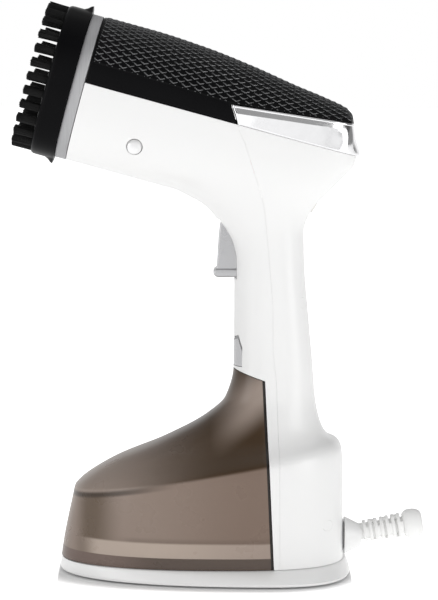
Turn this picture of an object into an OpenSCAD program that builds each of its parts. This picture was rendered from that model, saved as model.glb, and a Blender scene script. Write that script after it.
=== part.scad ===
// Handheld garment steamer standing on its own base.
// X runs from the brush (-X) to the cord (+X), Y is the width, Z is up.
// The origin is on the resting plane, under the middle of the base.

/* [Base and tank] */
// Width of the white base at its widest
base_w = 108; // [104:1:110]
// Width of the tank and of the lower body behind it
body_w = 90; // [88:1:92]
// Height of the top of the base tray above the table
rim_h = 8; // [7.5:0.1:8.5]
// Thickness of the non-slip pad under the base
pad_t = 1.2; // [1:0.1:1.6]

/* [Handle] */
// Width of the grip
grip_w = 35; // [34:0.5:38]
// Wall thickness of the mouldings
wall = 2.2; // [1.8:0.1:2.4]

/* [Head] */
// Height of the steam head across its axis
head_h = 80; // [78:1:82]
// Width of the steam head
head_w = 66; // [64:1:70]
// Length of the head along its axis, band to tail
head_len = 153.4; // [150:0.2:156]
// Angle of the head axis above the horizontal
head_tilt = 15; // [14.5:0.1:15.5]
// Thickness of the metal band at the front of the head
band_t = 6.2; // [5:0.1:7]
// Number of steam holes in the outer ring of the plate
outer_holes = 14; // [8:1:18]
// Number of steam holes in the inner ring of the plate
inner_holes = 8; // [4:1:10]

/* [Brush] */
// Depth of the brush frame
brush_depth = 13.2; // [12:0.1:14]
// Free length of the bristle tufts
tuft_len = 11.5; // [9:0.5:13]
// Diameter of one bristle tuft
tuft_d = 5.4; // [3:0.2:5.4]
// Spacing of the tufts along the sides of the brush
tuft_pitch = 7.7; // [7.2:0.1:7.8]

/* [Controls] */
// Width of the trigger
trigger_w = 14; // [12:1:16]
// Width of the tank release button
button_w = 24; // [22:1:25]

/* [Cord exit] */
// Number of ribs on the strain relief
rib_count = 7; // [5:1:8]
// Radius of the hole for the cord
cord_r = 3.3; // [3:0.1:3.6]
// Angle of the strain relief above the swivel axis
relief_tilt = 9.5; // [6:0.5:11]

/* [Hidden] */
$fn = 48;
big = 400;
gap = 0.35;              // clearance between the tank and the body
run_fit = 0.05;          // radial clearance of a running fit
screw_r = 1.5;           // shank of the larger screws
small_screw_r = 1.4;     // shank of the smaller screws
ring_n = 36;             // points in one ring of a skinned shell

// Head frame: p along the axis towards the tail, q across it, upwards
head_x = -66;
head_z = 265.5;
hh = head_h / 2;
hw = head_w / 2;
head_n = 2.4;            // fullness of the head's cross-section
cover_q = 4.3;           // lower edge of the top cover and of the trim

// Trim beside the tail of the cover: the foot and the top of its slanted front edge, and the
// end of its upper edge, past the tail
trim_foot = [84.6, cover_q];
trim_top = [78.5, 13.8];
trim_end = [160, 22.3];

// Rings of the head: place along the axis, top, bottom and half-width, as fractions
head_ring_list = [
    [0, 1, -1, 1], [0.18, 1, -1, 0.99], [0.36, 0.97, -1, 0.97], [0.555, 0.89, -1, 0.925],
    [0.717, 0.795, -0.985, 0.865], [0.848, 0.73, -0.85, 0.79], [0.906, 0.685, -0.6, 0.71],
    [0.952, 0.525, -0.31, 0.61], [0.984, 0.29, -0.14, 0.47], [1, 0.16, -0.03, 0.3]
];

// Rings of the body from the base up to the head. Each one is a flat oval:
// front x and z, rear x and z, x of its widest place, half-width,
// fullness in front and behind, and how far an inner wall drops per unit of wall
bw = body_w / 2;
gw = grip_w / 2;
body_ring_list = [
    [-78.6, rim_h, 77.5, rim_h, 5, bw, 2.3, 2.6, 0],
    [-71.8, 45, 76.3, 69.5, 5, bw - 1.4, 2.3, 2.6, 0],
    [-69.5, 48.8, 73.6, 73.2, 5, bw - 4, 2.3, 2.6, 0.6],
    [-52, 60.8, 69, 75.4, 8, bw - 10, 2.1, 2.5, 0.9],
    [-23, 73.2, 65.5, 80, 14, bw - 16, 2.1, 2.4, 0.9],
    [1, 86.4, 62.3, 90, 22, gw + 5.8, 2.1, 2.4, 0.6],
    [11.6, 96.6, 60.9, 98.5, 30, gw + 2.5, 2.2, 2.4, 0.3],
    [15.9, 113.3, 59.6, 114, 37, gw + 0.6, 2.3, 2.4, 0],
    [16, 140, 57, 141, 36.5, gw, 2.3, 2.4, 0],
    [15.9, 172, 54.4, 170, 35, gw - 0.2, 2.3, 2.4, 0],
    [14, 182, 53.8, 188, 34, gw + 0.2, 2.3, 2.4, 0],
    [7.2, 193.6, 56, 196, 32, gw + 1.8, 2.3, 2.4, 0],
    [-2, 203.3, 63, 206.7, 31, gw + 4.6, 2.3, 2.4, 0],
    [-14, 209.8, 72.3, 216.1, 30, gw + 7, 2.3, 2.4, 0],
    [-18, 222, 72, 236, 29, gw + 5, 2.3, 2.4, 0]
];

// Side outlines, in x and z: the seam between the two white shells, and the tank's bay
seam = [
    [17.5, 245], [20.8, 238], [24, 228], [28.5, 214.4], [31.2, 205], [33, 191],
    [34.8, 172], [36.9, 150], [37.2, 125], [39.2, 108], [40.9, 66], [41.7, 0]
];
bay_foot = [38.72, 0];
bay_corner = [33.1, 107.7];
bay_front = [10, 115.27];
bay_wall = 2.5;

// Screws that join the white shells: y and z of a pair in the grip and of a pair in the foot
grip_boss = [10.5, 150];
grip_boss_r = 3.6;
grip_seam_x = 36.9;      // the seam where it passes the grip bosses
foot_boss = [28, 30];
foot_boss_r = 4.5;
foot_seam_x = 50;
grip_head_x = 48;        // under the screws' heads
foot_head_x = 61;
screw_head_t = 2;

// Screws in the sides of the head: p and q, and the well in front of each
side_screw = [34.5, -21.8];
well_r = 4.4;
well_y = 23;

// Trigger: pivot, travel and side outline
pivot = [16.6, 190.2];
trigger_outline = [
    [8.2, 194.2], [7.0, 190], [6.4, 172], [4.3, 165.4], [5.0, 163.4], [19.5, 163],
    [21.2, 168], [21.2, 189], [19.6, 192.6], [16.6, 194.2]
];
trigger_back = 21.2;
pin_r = 1.5;
slot_low = 162.3;
slot_high = 195.2;
slot_side = 0.5;         // free width on each side of the trigger
plunger_z = 176;
plunger_r = 1.5;
plunger_free = 0.3;      // between the plunger and the trigger at rest
spring_z = 168.6;
spring_seat_x = 13;
spring_r = 2.2;
wire_r = 0.35;

// Switch behind the trigger
switch_x = 24;
switch_end = 33;
switch_half = 6;
switch_low = 166;
switch_high = 184;

// Release button
button_z = 114.9;
button_top = 131.6;
button_drop = 1.6;       // from the top of the opening to the top of the button
release_z = 123;
flange_x = 24;           // inner face of the grip's front wall
flange_t = 1.5;
stop_x = 33;             // rib that the release spring pushes against
latch_x = 22.5;
latch_half = 4;
latch_foot = 107.8;
groove_z = 106.6;

// Filler on the far side of the tank
filler = [-8, 30];
filler_r = 9;
filler_axis = [46.9, 43.5];
filler_face = 45.3;
hinge_pin_r = 0.8;
hinge_half = 4;          // half the width of the cap's knuckle
lug_w = 3;

// Valve between tank and body
valve_z = 20;
valve_r = 6;
nose_r = 4.2;
nose_end = 42.6;
socket_r = 6.9;
socket_x = 38.2;
socket_end = 46;
spigot_r = 2;

// Pump and hoses
pump = [60, 30, 60];
pump_r = 10;
hose_r = 3.2;
suction_r = 2.6;
suction_route = [[50, 0, 20], [53, 0, 20], [57, 0, 20.6], [59.4, 0, 22], [60, 0, 24], [60, 0, 26]];
feed_route = [
    [2.3, 0, 249.2], [11.8, 0, 246.7], [22, 0, 240], [31, 0, 228], [36, 0, 212], [39.5, 0, 190],
    [41, 0, 160], [43, 0, 130], [46, 0, 104], [52, 0, 86], [58, 0, 76], [60, 0, 69], [60, 0, 64]
];
lead_r = 1.6;
lead_route = [
    [8.9, 6, 235], [12, 6, 234.2], [20, 6, 229], [31, 6, 217], [39, 5.5, 203], [45, 5, 186], [48.5, 4.8, 160],
    [50, 4.8, 130], [52.5, 5, 106], [55, 7, 90], [56, 12, 78], [57, 17.6, 71], [57, 18.8, 68.5],
    [57, 18.8, 66]
];

// Steam plate, from its face to the rim that meets the boiler
plate_face = -13;
plate_t = 2.5;
plate_rim = 2;
plate_edge = 6;          // from the head's outside to the plate's
rim_t = 4;
plate_screws = [27, 10]; // q and y
seal_t = 2.2;

// Boiler: a flange behind the seal, then an oblong block
boiler_p = plate_rim + seal_t;
boiler_flange = 3;
boiler_end = 62;
boiler_q = 23;
boiler_y = 16;
heater_y = 9;
heater_q = -10;
heater_r = 2.5;
heater_end = 74;
inlet_q = 2;
sensor_screw_places = [[23, 0], [45, 0], [54, 6.5]];
fuse_q = 25.7;
fuse_r = 2.2;
clip_t = 1;

// Control board, beside the pump
board_lo = [43, 18, 36];
board_hi = [66, 19.6, 66];

// Pilot lamp at the rear of the neck, and its angle from the upright
lens_at = [59.4, 0, 201.2];
lens_turn = 123;
lens_r = 3;

// Brush frame: the ring between the head's outline and its opening, and the grips at its back
brush_back = -band_t - 0.3;
brush_front = brush_back - brush_depth;
brush_lip = 1.4;         // how far the frame stands out past the head
brush_ring = 13;
pocket_edge = 5.6;
pocket_depth = 9.7;
grip_rise = 4.2;

// Tufts on an oval ring: seven along each side, seven around each end
tuft_y = hw - 5.5;
tuft_q = hh - 2;
end_places = [-0.706, -0.498, -0.26, 0, 0.26, 0.498, 0.706];
tuft_places = [
    for (s = [-1, 1], i = [-3 : 3]) [s * tuft_y * rim(i * tuft_pitch / tuft_q), i * tuft_pitch],
    for (s = [-1, 1], f = end_places) [tuft_y * f, s * tuft_q * rim(f)]
];

// Cord exit
swivel_z = 19;
journal_r = 7;
swivel_face = 78;        // where the housing meets the body
collar_r = 10;
sleeve_r = 9.2;
ring_x = 70.6;
relief_x = 75;
relief_start = 5.2;
relief_core = 4.6;
rib_start = 14;
bulb_start = 36.4;
relief_end = 47.2;
clamp_x = [60, 66];
clamp_half = 10;
clamp_h = 5;
clamp_screw = [63, 6.8];

// Screws of the base, and the ring around each on the tray
base_screw = [60, 24];
tray_inner = 74;

// Lower edge of the base seen from above: where it is widest, how far it reaches from there to
// the front and to the rear, and its fullness at either end
base_wide_x = 30;
base_reach = [109, 51];
base_full = [2.3, 2.8];
tray_roof = 2.8;         // thickness of the tray above the hollow
plate_low = pad_t;
plate_high = pad_t + 2;

// ---------- shape helpers ----------

function spow(v, e) = sign(v) * pow(abs(v), e);

// Height of an oval's rim, as a fraction, at a fraction f of its width
function rim(f) = pow(1 - pow(abs(f), head_n), 1 / head_n);

// Closed oval with half-sizes a and b and fullness n, as points in a plane
function oval(a, b, n) = [
    for (i = [0 : ring_n - 1])
        let (t = 360 * i / ring_n)
        [a * spow(cos(t), 2 / n), b * spow(sin(t), 2 / n)]
];

// One ring of the base's lower edge, moved inwards by t
function base_ring(t) = [
    for (i = [0 : ring_n - 1])
        let (
            c = cos(360 * i / ring_n),
            s = sin(360 * i / ring_n),
            end = c < 0 ? 0 : 1,
            e = 2 / base_full[end]
        )
        [base_wide_x + (base_reach[end] - t) * spow(c, e), (base_w / 2 - t) * spow(s, e)]
];

// One ring of the head, moved inwards by t
function head_ring(r, t) =
    let (top = hh * r[1] - t, low = hh * r[2] + t, end = r[0] > 0.97 ? t : 0)
    let (lead = r[0] == 0 && t > 0 ? 1 : 0)
    [for (k = oval(hw * r[3] - t, (top - low) / 2, head_n))
        [head_len * r[0] - end - lead, k[0], k[1] + (top + low) / 2]];

// One ring of the body, moved inwards by t; the foot of an inner ring runs out below
function body_ring(r, t) =
    let (xf = r[0] + t, xr = r[2] - t, slope = (r[3] - r[1]) / (r[2] - r[0]))
    let (foot = r[1] == rim_h && t > 0 ? 2 : 0)
    [for (i = [0 : ring_n - 1])
        let (a = 360 * i / ring_n, c = cos(a), s = sin(a), n = c < 0 ? r[6] : r[7])
        let (x = r[4] + (c < 0 ? r[4] - xf : xr - r[4]) * spow(c, 2 / n))
        [x, (r[5] - t) * spow(s, 2 / n), r[1] + (x - r[0]) * slope - r[8] * t - foot]];

// Closed skin through a list of rings with the same number of points
module skin(rings) {
    n = len(rings[0]);
    m = len(rings);
    sides = [
        for (i = [0 : m - 2], j = [0 : n - 1])
            let (k = (j + 1) % n, a = i * n, b = a + n)
            each [[a + j, b + j, b + k], [a + j, b + k, a + k]]
    ];
    foot = [[for (j = [0 : n - 1]) j]];
    top = [[for (j = [n - 1 : -1 : 0]) (m - 1) * n + j]];
    polyhedron([for (r = rings) each r], concat(sides, foot, top));
}

// Round tube of radius r along a list of points
module tube(route, r, sides = 8) {
    m = len(route);
    skin([
        for (i = [0 : m - 1])
            let (a = route[max(i - 1, 0)], b = route[min(i + 1, m - 1)], d = (b - a) / norm(b - a))
            let (e = cross(d, [0, 1, 0]), u = e / norm(e), v = cross(d, u))
            [for (j = [0 : sides - 1])
                let (t = 360 * j / sides)
                route[i] + r * (cos(t) * u + sin(t) * v)]
    ]);
}

// Compression spring of coil radius r, lying along +X from x = 0
module coil(r, wire_r, length, turns, steps = 9) {
    count = turns * steps;
    skin([
        for (i = [0 : count])
            let (t = 360 * i / steps, x = wire_r + (length - 2 * wire_r) * i / count)
            let (u = [0, cos(t), sin(t)])
            [for (j = [0 : 5]) [x, 0, 0] + (r + wire_r * cos(-60 * j)) * u + [wire_r * sin(-60 * j), 0, 0]]
    ]);
}

// Solid with a given side outline in x and z, centred on the symmetry plane
module side_solid(points, width = big) {
    rotate([90, 0, 0])
        linear_extrude(width, center = true)
            polygon(points);
}

module rod_x(x0, x1, y, z, r) {
    translate([x0, y, z])
        rotate([0, 90, 0])
            cylinder(h = x1 - x0, r = r);
}

module rod_y(x, y0, y1, z, r) {
    translate([x, y0, z])
        rotate([-90, 0, 0])
            cylinder(h = y1 - y0, r = r);
}

module box(lo, hi) {
    translate(lo)
        cube(hi - lo);
}

// Places its children in the head frame: p along X, q along Z
module in_head() {
    translate([head_x, 0, head_z])
        rotate([0, head_tilt, 0])
            children();
}

// Oval prism across the head axis, from p0 to p1, half-sizes in q and y
module head_slab(p0, p1, half_q, half_y, n = head_n) {
    translate([p0, 0, 0])
        rotate([0, 90, 0])
            linear_extrude(p1 - p0)
                polygon(oval(half_q, half_y, n));
}

module plan_slab(z0, z1, half_x, half_y, n = 2.4) {
    translate([0, 0, z0])
        linear_extrude(z1 - z0)
            polygon(oval(half_x, half_y, n));
}

module mirrored() {
    children();
    mirror([0, 1, 0])
        children();
}

// ---------- outer and inner envelopes ----------

module head_env(t) {
    in_head()
        skin([for (r = head_ring_list) head_ring(r, t)]);
}

module body_env(t, first = 0, last = 14) {
    skin([for (i = [first : last]) body_ring(body_ring_list[i], t)]);
}

module cover_zone() {
    in_head()
        side_solid([[-1, cover_q], trim_foot, trim_top, trim_end, [160, 60], [-1, 60]]);
}

module trim_zone() {
    in_head()
        side_solid([trim_foot, [160, cover_q], trim_end, trim_top]);
}

module white_zone() {
    in_head()
        side_solid([[0, cover_q], [160, cover_q], [300, 0], [300, -big], [-big, -big], [0, -60]]);
}

module front_zone() {
    side_solid(concat(seam, [[-150, 0], [-150, 330], [17.5, 330]]));
}

module bay_zone() {
    side_solid([bay_foot, bay_corner, bay_front, [-150, bay_front[1]], [-150, 0]]);
}

module bay_partition() {
    side_solid([
        bay_foot, bay_corner, bay_front, bay_front + [0, 2.3],
        bay_corner + [bay_wall, 1.4], bay_foot + [bay_wall, 0]
    ]);
}

// ---------- white body ----------

module white_wall() {
    difference() {
        intersection() {
            union() {
                head_env(0);
                body_env(0);
            }
            white_zone();
        }
        head_env(wall);
        body_env(wall);
    }
}

module trigger_bosses() {
    intersection() {
        body_env(0, 8, 13);
        mirrored()
            rod_y(pivot[0], trigger_w / 2 + slot_side + 0.3, 24, pivot[1], 4);
    }
}

module switch_ribs() {
    intersection() {
        body_env(0, 8, 11);
        mirrored()
            box([switch_x, switch_half, switch_low], [switch_end, 24, switch_high]);
    }
}

module spring_stop() {
    intersection() {
        body_env(0, 7, 9);
        box([stop_x, -24, release_z - 4], [stop_x + 2, 24, release_z + 4]);
    }
}

module screw_wells(r, y0, y1) {
    in_head()
        mirrored()
            rod_y(side_screw[0], y0, y1, side_screw[1], r);
}

module grip_bosses(x0, x1) {
    mirrored()
        rod_x(x0, x1, grip_boss[0], grip_boss[1], grip_boss_r);
}

module foot_bosses(x0, x1) {
    mirrored()
        rod_x(x0, x1, foot_boss[0], foot_boss[1], foot_boss_r);
}

module trigger_slot() {
    half = trigger_w / 2 + slot_side;
    box([-10, -half, slot_low], [switch_x - 1, half, slot_high]);
}

module latch_slot() {
    half = latch_half + 0.6;
    box([latch_x - 0.7, -half, 100], [latch_x + 6.4, half, 118]);
}

// Holes for the screws of the grip and of the foot, from the given places rearwards
module shell_screw_holes(grip_x, foot_x, r) {
    mirrored() {
        rod_x(grip_x, 70, grip_boss[0], grip_boss[1], r);
        rod_x(foot_x, 90, foot_boss[0], foot_boss[1], r);
    }
}

module front_shell() {
    color("white")
        difference() {
            union() {
                difference() {
                    intersection() {
                        white_wall();
                        front_zone();
                    }
                    bay_zone();
                }
                intersection() {
                    body_env(0, 0, 8);
                    bay_partition();
                }
                trigger_bosses();
                switch_ribs();
                spring_stop();
                intersection() {
                    head_env(0);
                    screw_wells(well_r + 1.6, well_y - 6, 40);
                }
                intersection() {
                    body_env(0, 7, 9);
                    grip_bosses(14, grip_seam_x);
                }
                foot_bosses(38.6, foot_seam_x);
            }
            trigger_slot();
            translate([5, 0, 0])
                button_slab(21, 0.4, button_top);
            latch_slot();
            trigger_pin_rod();
            rod_x(36, 42, 0, valve_z, socket_r + run_fit);
            screw_wells(well_r, well_y, 60);
            screw_wells(1.6, 10, 30);
            shell_screw_holes(24, 40, screw_r);
        }
}

module rear_shell() {
    color("white")
        difference() {
            union() {
                difference() {
                    white_wall();
                    front_zone();
                }
                intersection() {
                    body_env(0, 7, 9);
                    grip_bosses(grip_seam_x, 60);
                }
                intersection() {
                    body_env(0, 0, 3);
                    union() {
                        foot_bosses(foot_seam_x, 80);
                        box([board_hi[0], board_lo[1] - 2, 40], [80, board_hi[1] + 2.4, 60]);
                        box([board_hi[0], -8, 40], [80, 8, 50]);
                    }
                }
            }
            translate([pump[0], 0, pump[1]])
                cylinder(h = pump[2] - pump[1], r = pump_r + run_fit);
            rod_x(70, 90, 0, swivel_z, sleeve_r);
            translate(lens_at)
                rotate([0, lens_turn, 0])
                    cylinder(h = 12, r = lens_r, center = true);
            shell_screw_holes(30, 45, screw_r);
            shell_screw_holes(grip_head_x, foot_head_x, 2 * screw_r);
        }
}

module body_screw(x0, x1, y, z) {
    rod_x(x0, x1, y, z, screw_r);
    rod_x(x1, x1 + screw_head_t, y, z, screw_r + 1.3);
}

module body_screws() {
    color("silver")
        mirrored() {
            body_screw(25, grip_head_x, grip_boss[0], grip_boss[1]);
            body_screw(41, foot_head_x, foot_boss[0], foot_boss[1]);
        }
}

// Covers over the screws, flush with the outside of the body
module screw_plugs() {
    r = 2 * screw_r - run_fit;
    color("white")
        intersection() {
            body_env(0, 0, 9);
            mirrored() {
                rod_x(grip_head_x + screw_head_t, 70, grip_boss[0], grip_boss[1], r);
                rod_x(foot_head_x + screw_head_t, 90, foot_boss[0], foot_boss[1], r);
            }
        }
}

// ---------- head ----------

module top_cover() {
    color([0.08, 0.08, 0.09])
        difference() {
            intersection() {
                head_env(0);
                cover_zone();
            }
            head_env(wall);
        }
}

module rear_trim() {
    color("silver")
        difference() {
            intersection() {
                head_env(0);
                trim_zone();
            }
            head_env(wall);
        }
}

module head_band() {
    color([0.65, 0.65, 0.66])
        in_head()
            difference() {
                head_slab(-band_t, 0, hh, hw);
                head_slab(-band_t - 1, 1, hh - pocket_edge, hw - pocket_edge);
            }
}

module side_screws() {
    color([0.6, 0.6, 0.6])
        union() {
            screw_wells(1.6, well_y - 6, well_y);
            screw_wells(3.5, well_y, well_y + 1.6);
        }
}

module plate_holes(count, half_q, half_y) {
    for (i = [0 : count - 1])
        translate([plate_face - 1, half_y * sin(360 * i / count), half_q * cos(360 * i / count)])
            rotate([0, 90, 0])
                cylinder(h = 5, r = 1.3);
}

module at_plate_screws() {
    for (q = [-1, 1], y = [-1, 1])
        translate([0, y * plate_screws[1], q * plate_screws[0]])
            children();
}

module plate_ring(p0, p1) {
    inner = plate_edge + rim_t;
    difference() {
        head_slab(p0, p1, hh - plate_edge, hw - plate_edge);
        head_slab(p0 - 1, p1 + 1, hh - inner, hw - inner);
    }
}

module steam_plate() {
    back = plate_face + plate_t;
    color([0.7, 0.7, 0.72])
        in_head()
            difference() {
                union() {
                    head_slab(plate_face, back, hh - plate_edge, hw - plate_edge);
                    plate_ring(back, plate_rim);
                    at_plate_screws()
                        rod_x(back, boiler_p, 0, 0, 2 * screw_r);
                }
                plate_holes(outer_holes, 22, 16.5);
                plate_holes(inner_holes, 11, 8);
                at_plate_screws()
                    rod_x(-6, 10, 0, 0, screw_r);
            }
}

module plate_seal() {
    color([0.75, 0.35, 0.25])
        in_head()
            difference() {
                plate_ring(plate_rim, boiler_p);
                at_plate_screws()
                    rod_x(plate_rim - 1, boiler_p + 1, 0, 0, 2 * screw_r);
            }
}

// ---------- boiler ----------

module boiler() {
    flange_end = boiler_p + boiler_flange;
    flange_edge = wall + 0.3;
    color([0.75, 0.75, 0.78])
        in_head()
            difference() {
                union() {
                    head_slab(boiler_p, flange_end, hh - flange_edge, hw - flange_edge);
                    head_slab(flange_end, boiler_end, boiler_q, boiler_y, 4);
                    rod_x(boiler_end, boiler_end + 8, 0, inlet_q, spigot_r);
                }
                head_slab(boiler_p - 0.2, 34, boiler_q - 6, boiler_y - 5, 4);
                rod_x(30, boiler_end + 9, 0, inlet_q, 1);
                for (s = [-1, 1])
                    rod_x(40, boiler_end + 1, s * heater_y, heater_q, heater_r);
                at_plate_screws()
                    rod_x(boiler_p - 0.2, flange_end + 0.8, 0, 0, screw_r);
                sensor_screw_holes(boiler_q - 5);
            }
}

module sensor_screw_holes(q) {
    for (at = sensor_screw_places)
        translate([at[0], at[1], q])
            cylinder(h = 6, r = small_screw_r);
}

module heating_element() {
    color([0.55, 0.45, 0.35])
        in_head()
            for (s = [-1, 1])
                rod_x(40, heater_end, s * heater_y, heater_q, heater_r);
}

module terminal_block() {
    half = heater_y + 4;
    color([0.9, 0.88, 0.8])
        in_head()
            box([heater_end, -half, heater_q - 5], [heater_end + 6, half, heater_q + 5]);
}

module thermostat() {
    color([0.2, 0.2, 0.2])
        in_head()
            difference() {
                union() {
                    translate([34, 0, boiler_q])
                        cylinder(h = 7, r = 8);
                    box([20, -5, boiler_q], [48, 5, boiler_q + clip_t]);
                }
                sensor_screw_holes(boiler_q - 3);
            }
}

module thermal_fuse() {
    color([0.85, 0.8, 0.6])
        in_head()
            rod_x(48.5, 60, 0, fuse_q, fuse_r);
}

module fuse_clip() {
    color("silver")
        in_head()
            difference() {
                box([51, -4, boiler_q], [57, 9.5, boiler_q + 6]);
                rod_x(50, 58, 0, fuse_q, fuse_r);
                box([50, 3.5, boiler_q + clip_t], [58, 10, boiler_q + 7]);
                sensor_screw_holes(boiler_q - 3);
            }
}

module boiler_screws() {
    head_p = boiler_p + boiler_flange;
    color("silver")
        in_head()
            at_plate_screws() {
                rod_x(-5, head_p, 0, 0, screw_r);
                rod_x(head_p, head_p + 1.8, 0, 0, screw_r + 1.1);
            }
}

module sensor_screws() {
    color("silver")
        in_head()
            for (at = sensor_screw_places)
                translate([at[0], at[1], boiler_q + clip_t]) {
                    translate([0, 0, -5.5])
                        cylinder(h = 5.5, r = small_screw_r);
                    cylinder(h = 1.6, r = 2.5);
                }
}

module boiler_lead() {
    color([0.75, 0.1, 0.1])
        tube(lead_route, lead_r);
}

// ---------- trigger ----------

module trigger() {
    color([0.75, 0.75, 0.77])
        difference() {
            side_solid(trigger_outline, trigger_w);
            rod_y(pivot[0], -20, 20, pivot[1], pin_r + run_fit);
            rod_x(spring_seat_x, 24, 0, spring_z, spring_r + 0.8);
        }
}

module trigger_pin_rod() {
    half = trigger_w / 2 + 4;
    rod_y(pivot[0], -half, half, pivot[1], pin_r);
}

module trigger_pin() {
    color("silver")
        trigger_pin_rod();
}

module trigger_spring() {
    color("silver")
        translate([spring_seat_x, 0, spring_z])
            coil(spring_r, wire_r, switch_x - spring_seat_x, 6);
}

module trigger_switch() {
    color([0.15, 0.15, 0.15])
        difference() {
            box([switch_x, -switch_half, switch_low], [switch_end, switch_half, switch_high]);
            rod_x(switch_x - 1, 30.5, 0, plunger_z, plunger_r + run_fit);
        }
}

module switch_plunger() {
    color([0.8, 0.2, 0.15])
        translate([trigger_back + plunger_free + plunger_r, 0, plunger_z]) {
            sphere(r = plunger_r);
            rod_x(0, 4.2, 0, 0, plunger_r);
        }
}

// ---------- tank release ----------

module button_slab(depth, extra, top) {
    half = button_w / 2 + extra;
    low = button_z - extra;
    high = top + extra;
    rotate([90, 0, 90])
        linear_extrude(depth)
            polygon([
                [-half, low], [half, low], [half, high - 6.6], [half - 2.6, high],
                [0, high - 2.2], [2.6 - half, high], [-half, high - 6.6]
            ]);
}

module release_button() {
    color([0.75, 0.75, 0.77])
        union() {
            intersection() {
                body_env(0, 6, 8);
                translate([10, 0, 0])
                    button_slab(12, 0, button_top - button_drop);
            }
            box([20, -5, release_z - 6], [flange_x, 5, release_z + 6]);
            box([flange_x, -11, release_z - 6.4], [flange_x + flange_t, 11, button_top + 3.4]);
            box([latch_x, -latch_half, latch_foot], [latch_x + 2.5, latch_half, release_z - 5]);
        }
}

module release_spring() {
    color("silver")
        translate([flange_x + flange_t, 0, release_z])
            coil(spring_r, wire_r, stop_x - flange_x - flange_t, 5);
}

// ---------- electrics and water inside the body ----------

module control_board() {
    color([0.1, 0.4, 0.2])
        union() {
            box(board_lo, board_hi);
            box([45, board_hi[1], 50], [55, board_hi[1] + 8, 60]);
            rod_y(59, board_hi[1], board_hi[1] + 7.4, 44, 4);
            box([45, board_hi[1], 38], [54, board_hi[1] + 4.4, 45]);
        }
}

module pilot_lens() {
    color([0.95, 0.93, 0.88])
        translate(lens_at)
            rotate([0, lens_turn, 0])
                translate([0, 0, -4])
                    cylinder(h = 4.1, r = lens_r);
}

module water_pump() {
    color([0.25, 0.25, 0.27])
        translate([pump[0], 0, 0])
            difference() {
                union() {
                    translate([0, 0, pump[1]])
                        cylinder(h = pump[2] - pump[1], r = pump_r);
                    translate([0, 0, pump[1] - 4])
                        cylinder(h = 8, r = spigot_r);
                    translate([0, 0, pump[2]])
                        cylinder(h = 4, r = spigot_r);
                }
                translate([0, 0, 20])
                    cylinder(h = 14, r = 1);
            }
}

module suction_hose() {
    color([0.85, 0.85, 0.8])
        tube(suction_route, suction_r);
}

module feed_hose() {
    color([0.85, 0.85, 0.8])
        tube(feed_route, hose_r);
}

module inlet_socket() {
    color([0.3, 0.3, 0.32])
        difference() {
            union() {
                rod_x(socket_x, socket_end, 0, valve_z, socket_r);
                rod_x(42, 43.5, 0, valve_z, socket_r + 2);
                rod_x(socket_end, socket_end + 4, 0, valve_z, spigot_r);
            }
            rod_x(socket_x - 1, nose_end + 0.8, 0, valve_z, nose_r + 0.7);
            rod_x(nose_end, socket_end + 5, 0, valve_z, 1.2);
        }
}

// ---------- tank ----------

module tank_zone() {
    intersection() {
        side_solid([
            bay_foot + [-gap, 0], bay_corner + [-gap, -gap], bay_front + [0, -gap],
            [-150, bay_front[1] - gap], [-150, 0]
        ]);
        box([-150, -80, rim_h + 0.3], [80, 80, 200]);
    }
}

module tank_room() {
    side_solid([
        bay_foot + [-gap - wall, -1], [bay_corner[0] - gap - wall, groove_z - wall],
        [-150, groove_z - wall], [-150, -1]
    ]);
}

module tank_shell() {
    color([0.35, 0.27, 0.21, 0.75])
        difference() {
            union() {
                difference() {
                    intersection() {
                        body_env(0, 0, 8);
                        tank_zone();
                    }
                    intersection() {
                        body_env(wall, 0, 7);
                        tank_room();
                    }
                }
                rod_y(filler[0], 40, filler_face, filler[1], filler_r + 3);
                for (x = [-hinge_half - 0.3 - lug_w, hinge_half + 0.3])
                    box([filler[0] + x, 42.4, 41.6], [filler[0] + x + lug_w, 48.8, 45.4]);
            }
            box([latch_x - 1, -latch_half - 0.7, groove_z], [60, latch_half + 0.7, 130]);
            rod_x(30, 50, 0, valve_z, valve_r);
            rod_y(filler[0], 30, 60, filler[1], filler_r);
            rod_x(-20, 0, filler_axis[0], filler_axis[1], hinge_pin_r);
        }
}

module tank_floor() {
    color([0.7, 0.65, 0.6, 0.8])
        difference() {
            intersection() {
                body_env(wall + 0.05, 0, 1);
                box([-80, -50, rim_h + 0.3], [35, 50, 17]);
            }
            intersection() {
                body_env(wall + 2, 0, 1);
                box([-80, -50, rim_h + 2.8], [33, 50, 20]);
            }
            rod_x(30, 50, 0, valve_z, valve_r + 3);
        }
}

module seal_ring() {
    translate([40.6, 0, valve_z])
        rotate([0, 90, 0])
            rotate_extrude()
                translate([nose_r + 0.1, 0])
                    circle(r = 0.5, $fn = 24);
}

module tank_valve() {
    color([0.2, 0.2, 0.22])
        difference() {
            union() {
                rod_x(32.2, 34.5, 0, valve_z, valve_r + 2);
                rod_x(34.5, 37.3, 0, valve_z, valve_r - run_fit);
                rod_x(37.3, nose_end, 0, valve_z, nose_r);
            }
            rod_x(32, 43, 0, valve_z, 1.8);
            seal_ring();
        }
}

module valve_seal() {
    color([0.1, 0.1, 0.1])
        seal_ring();
}

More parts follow.
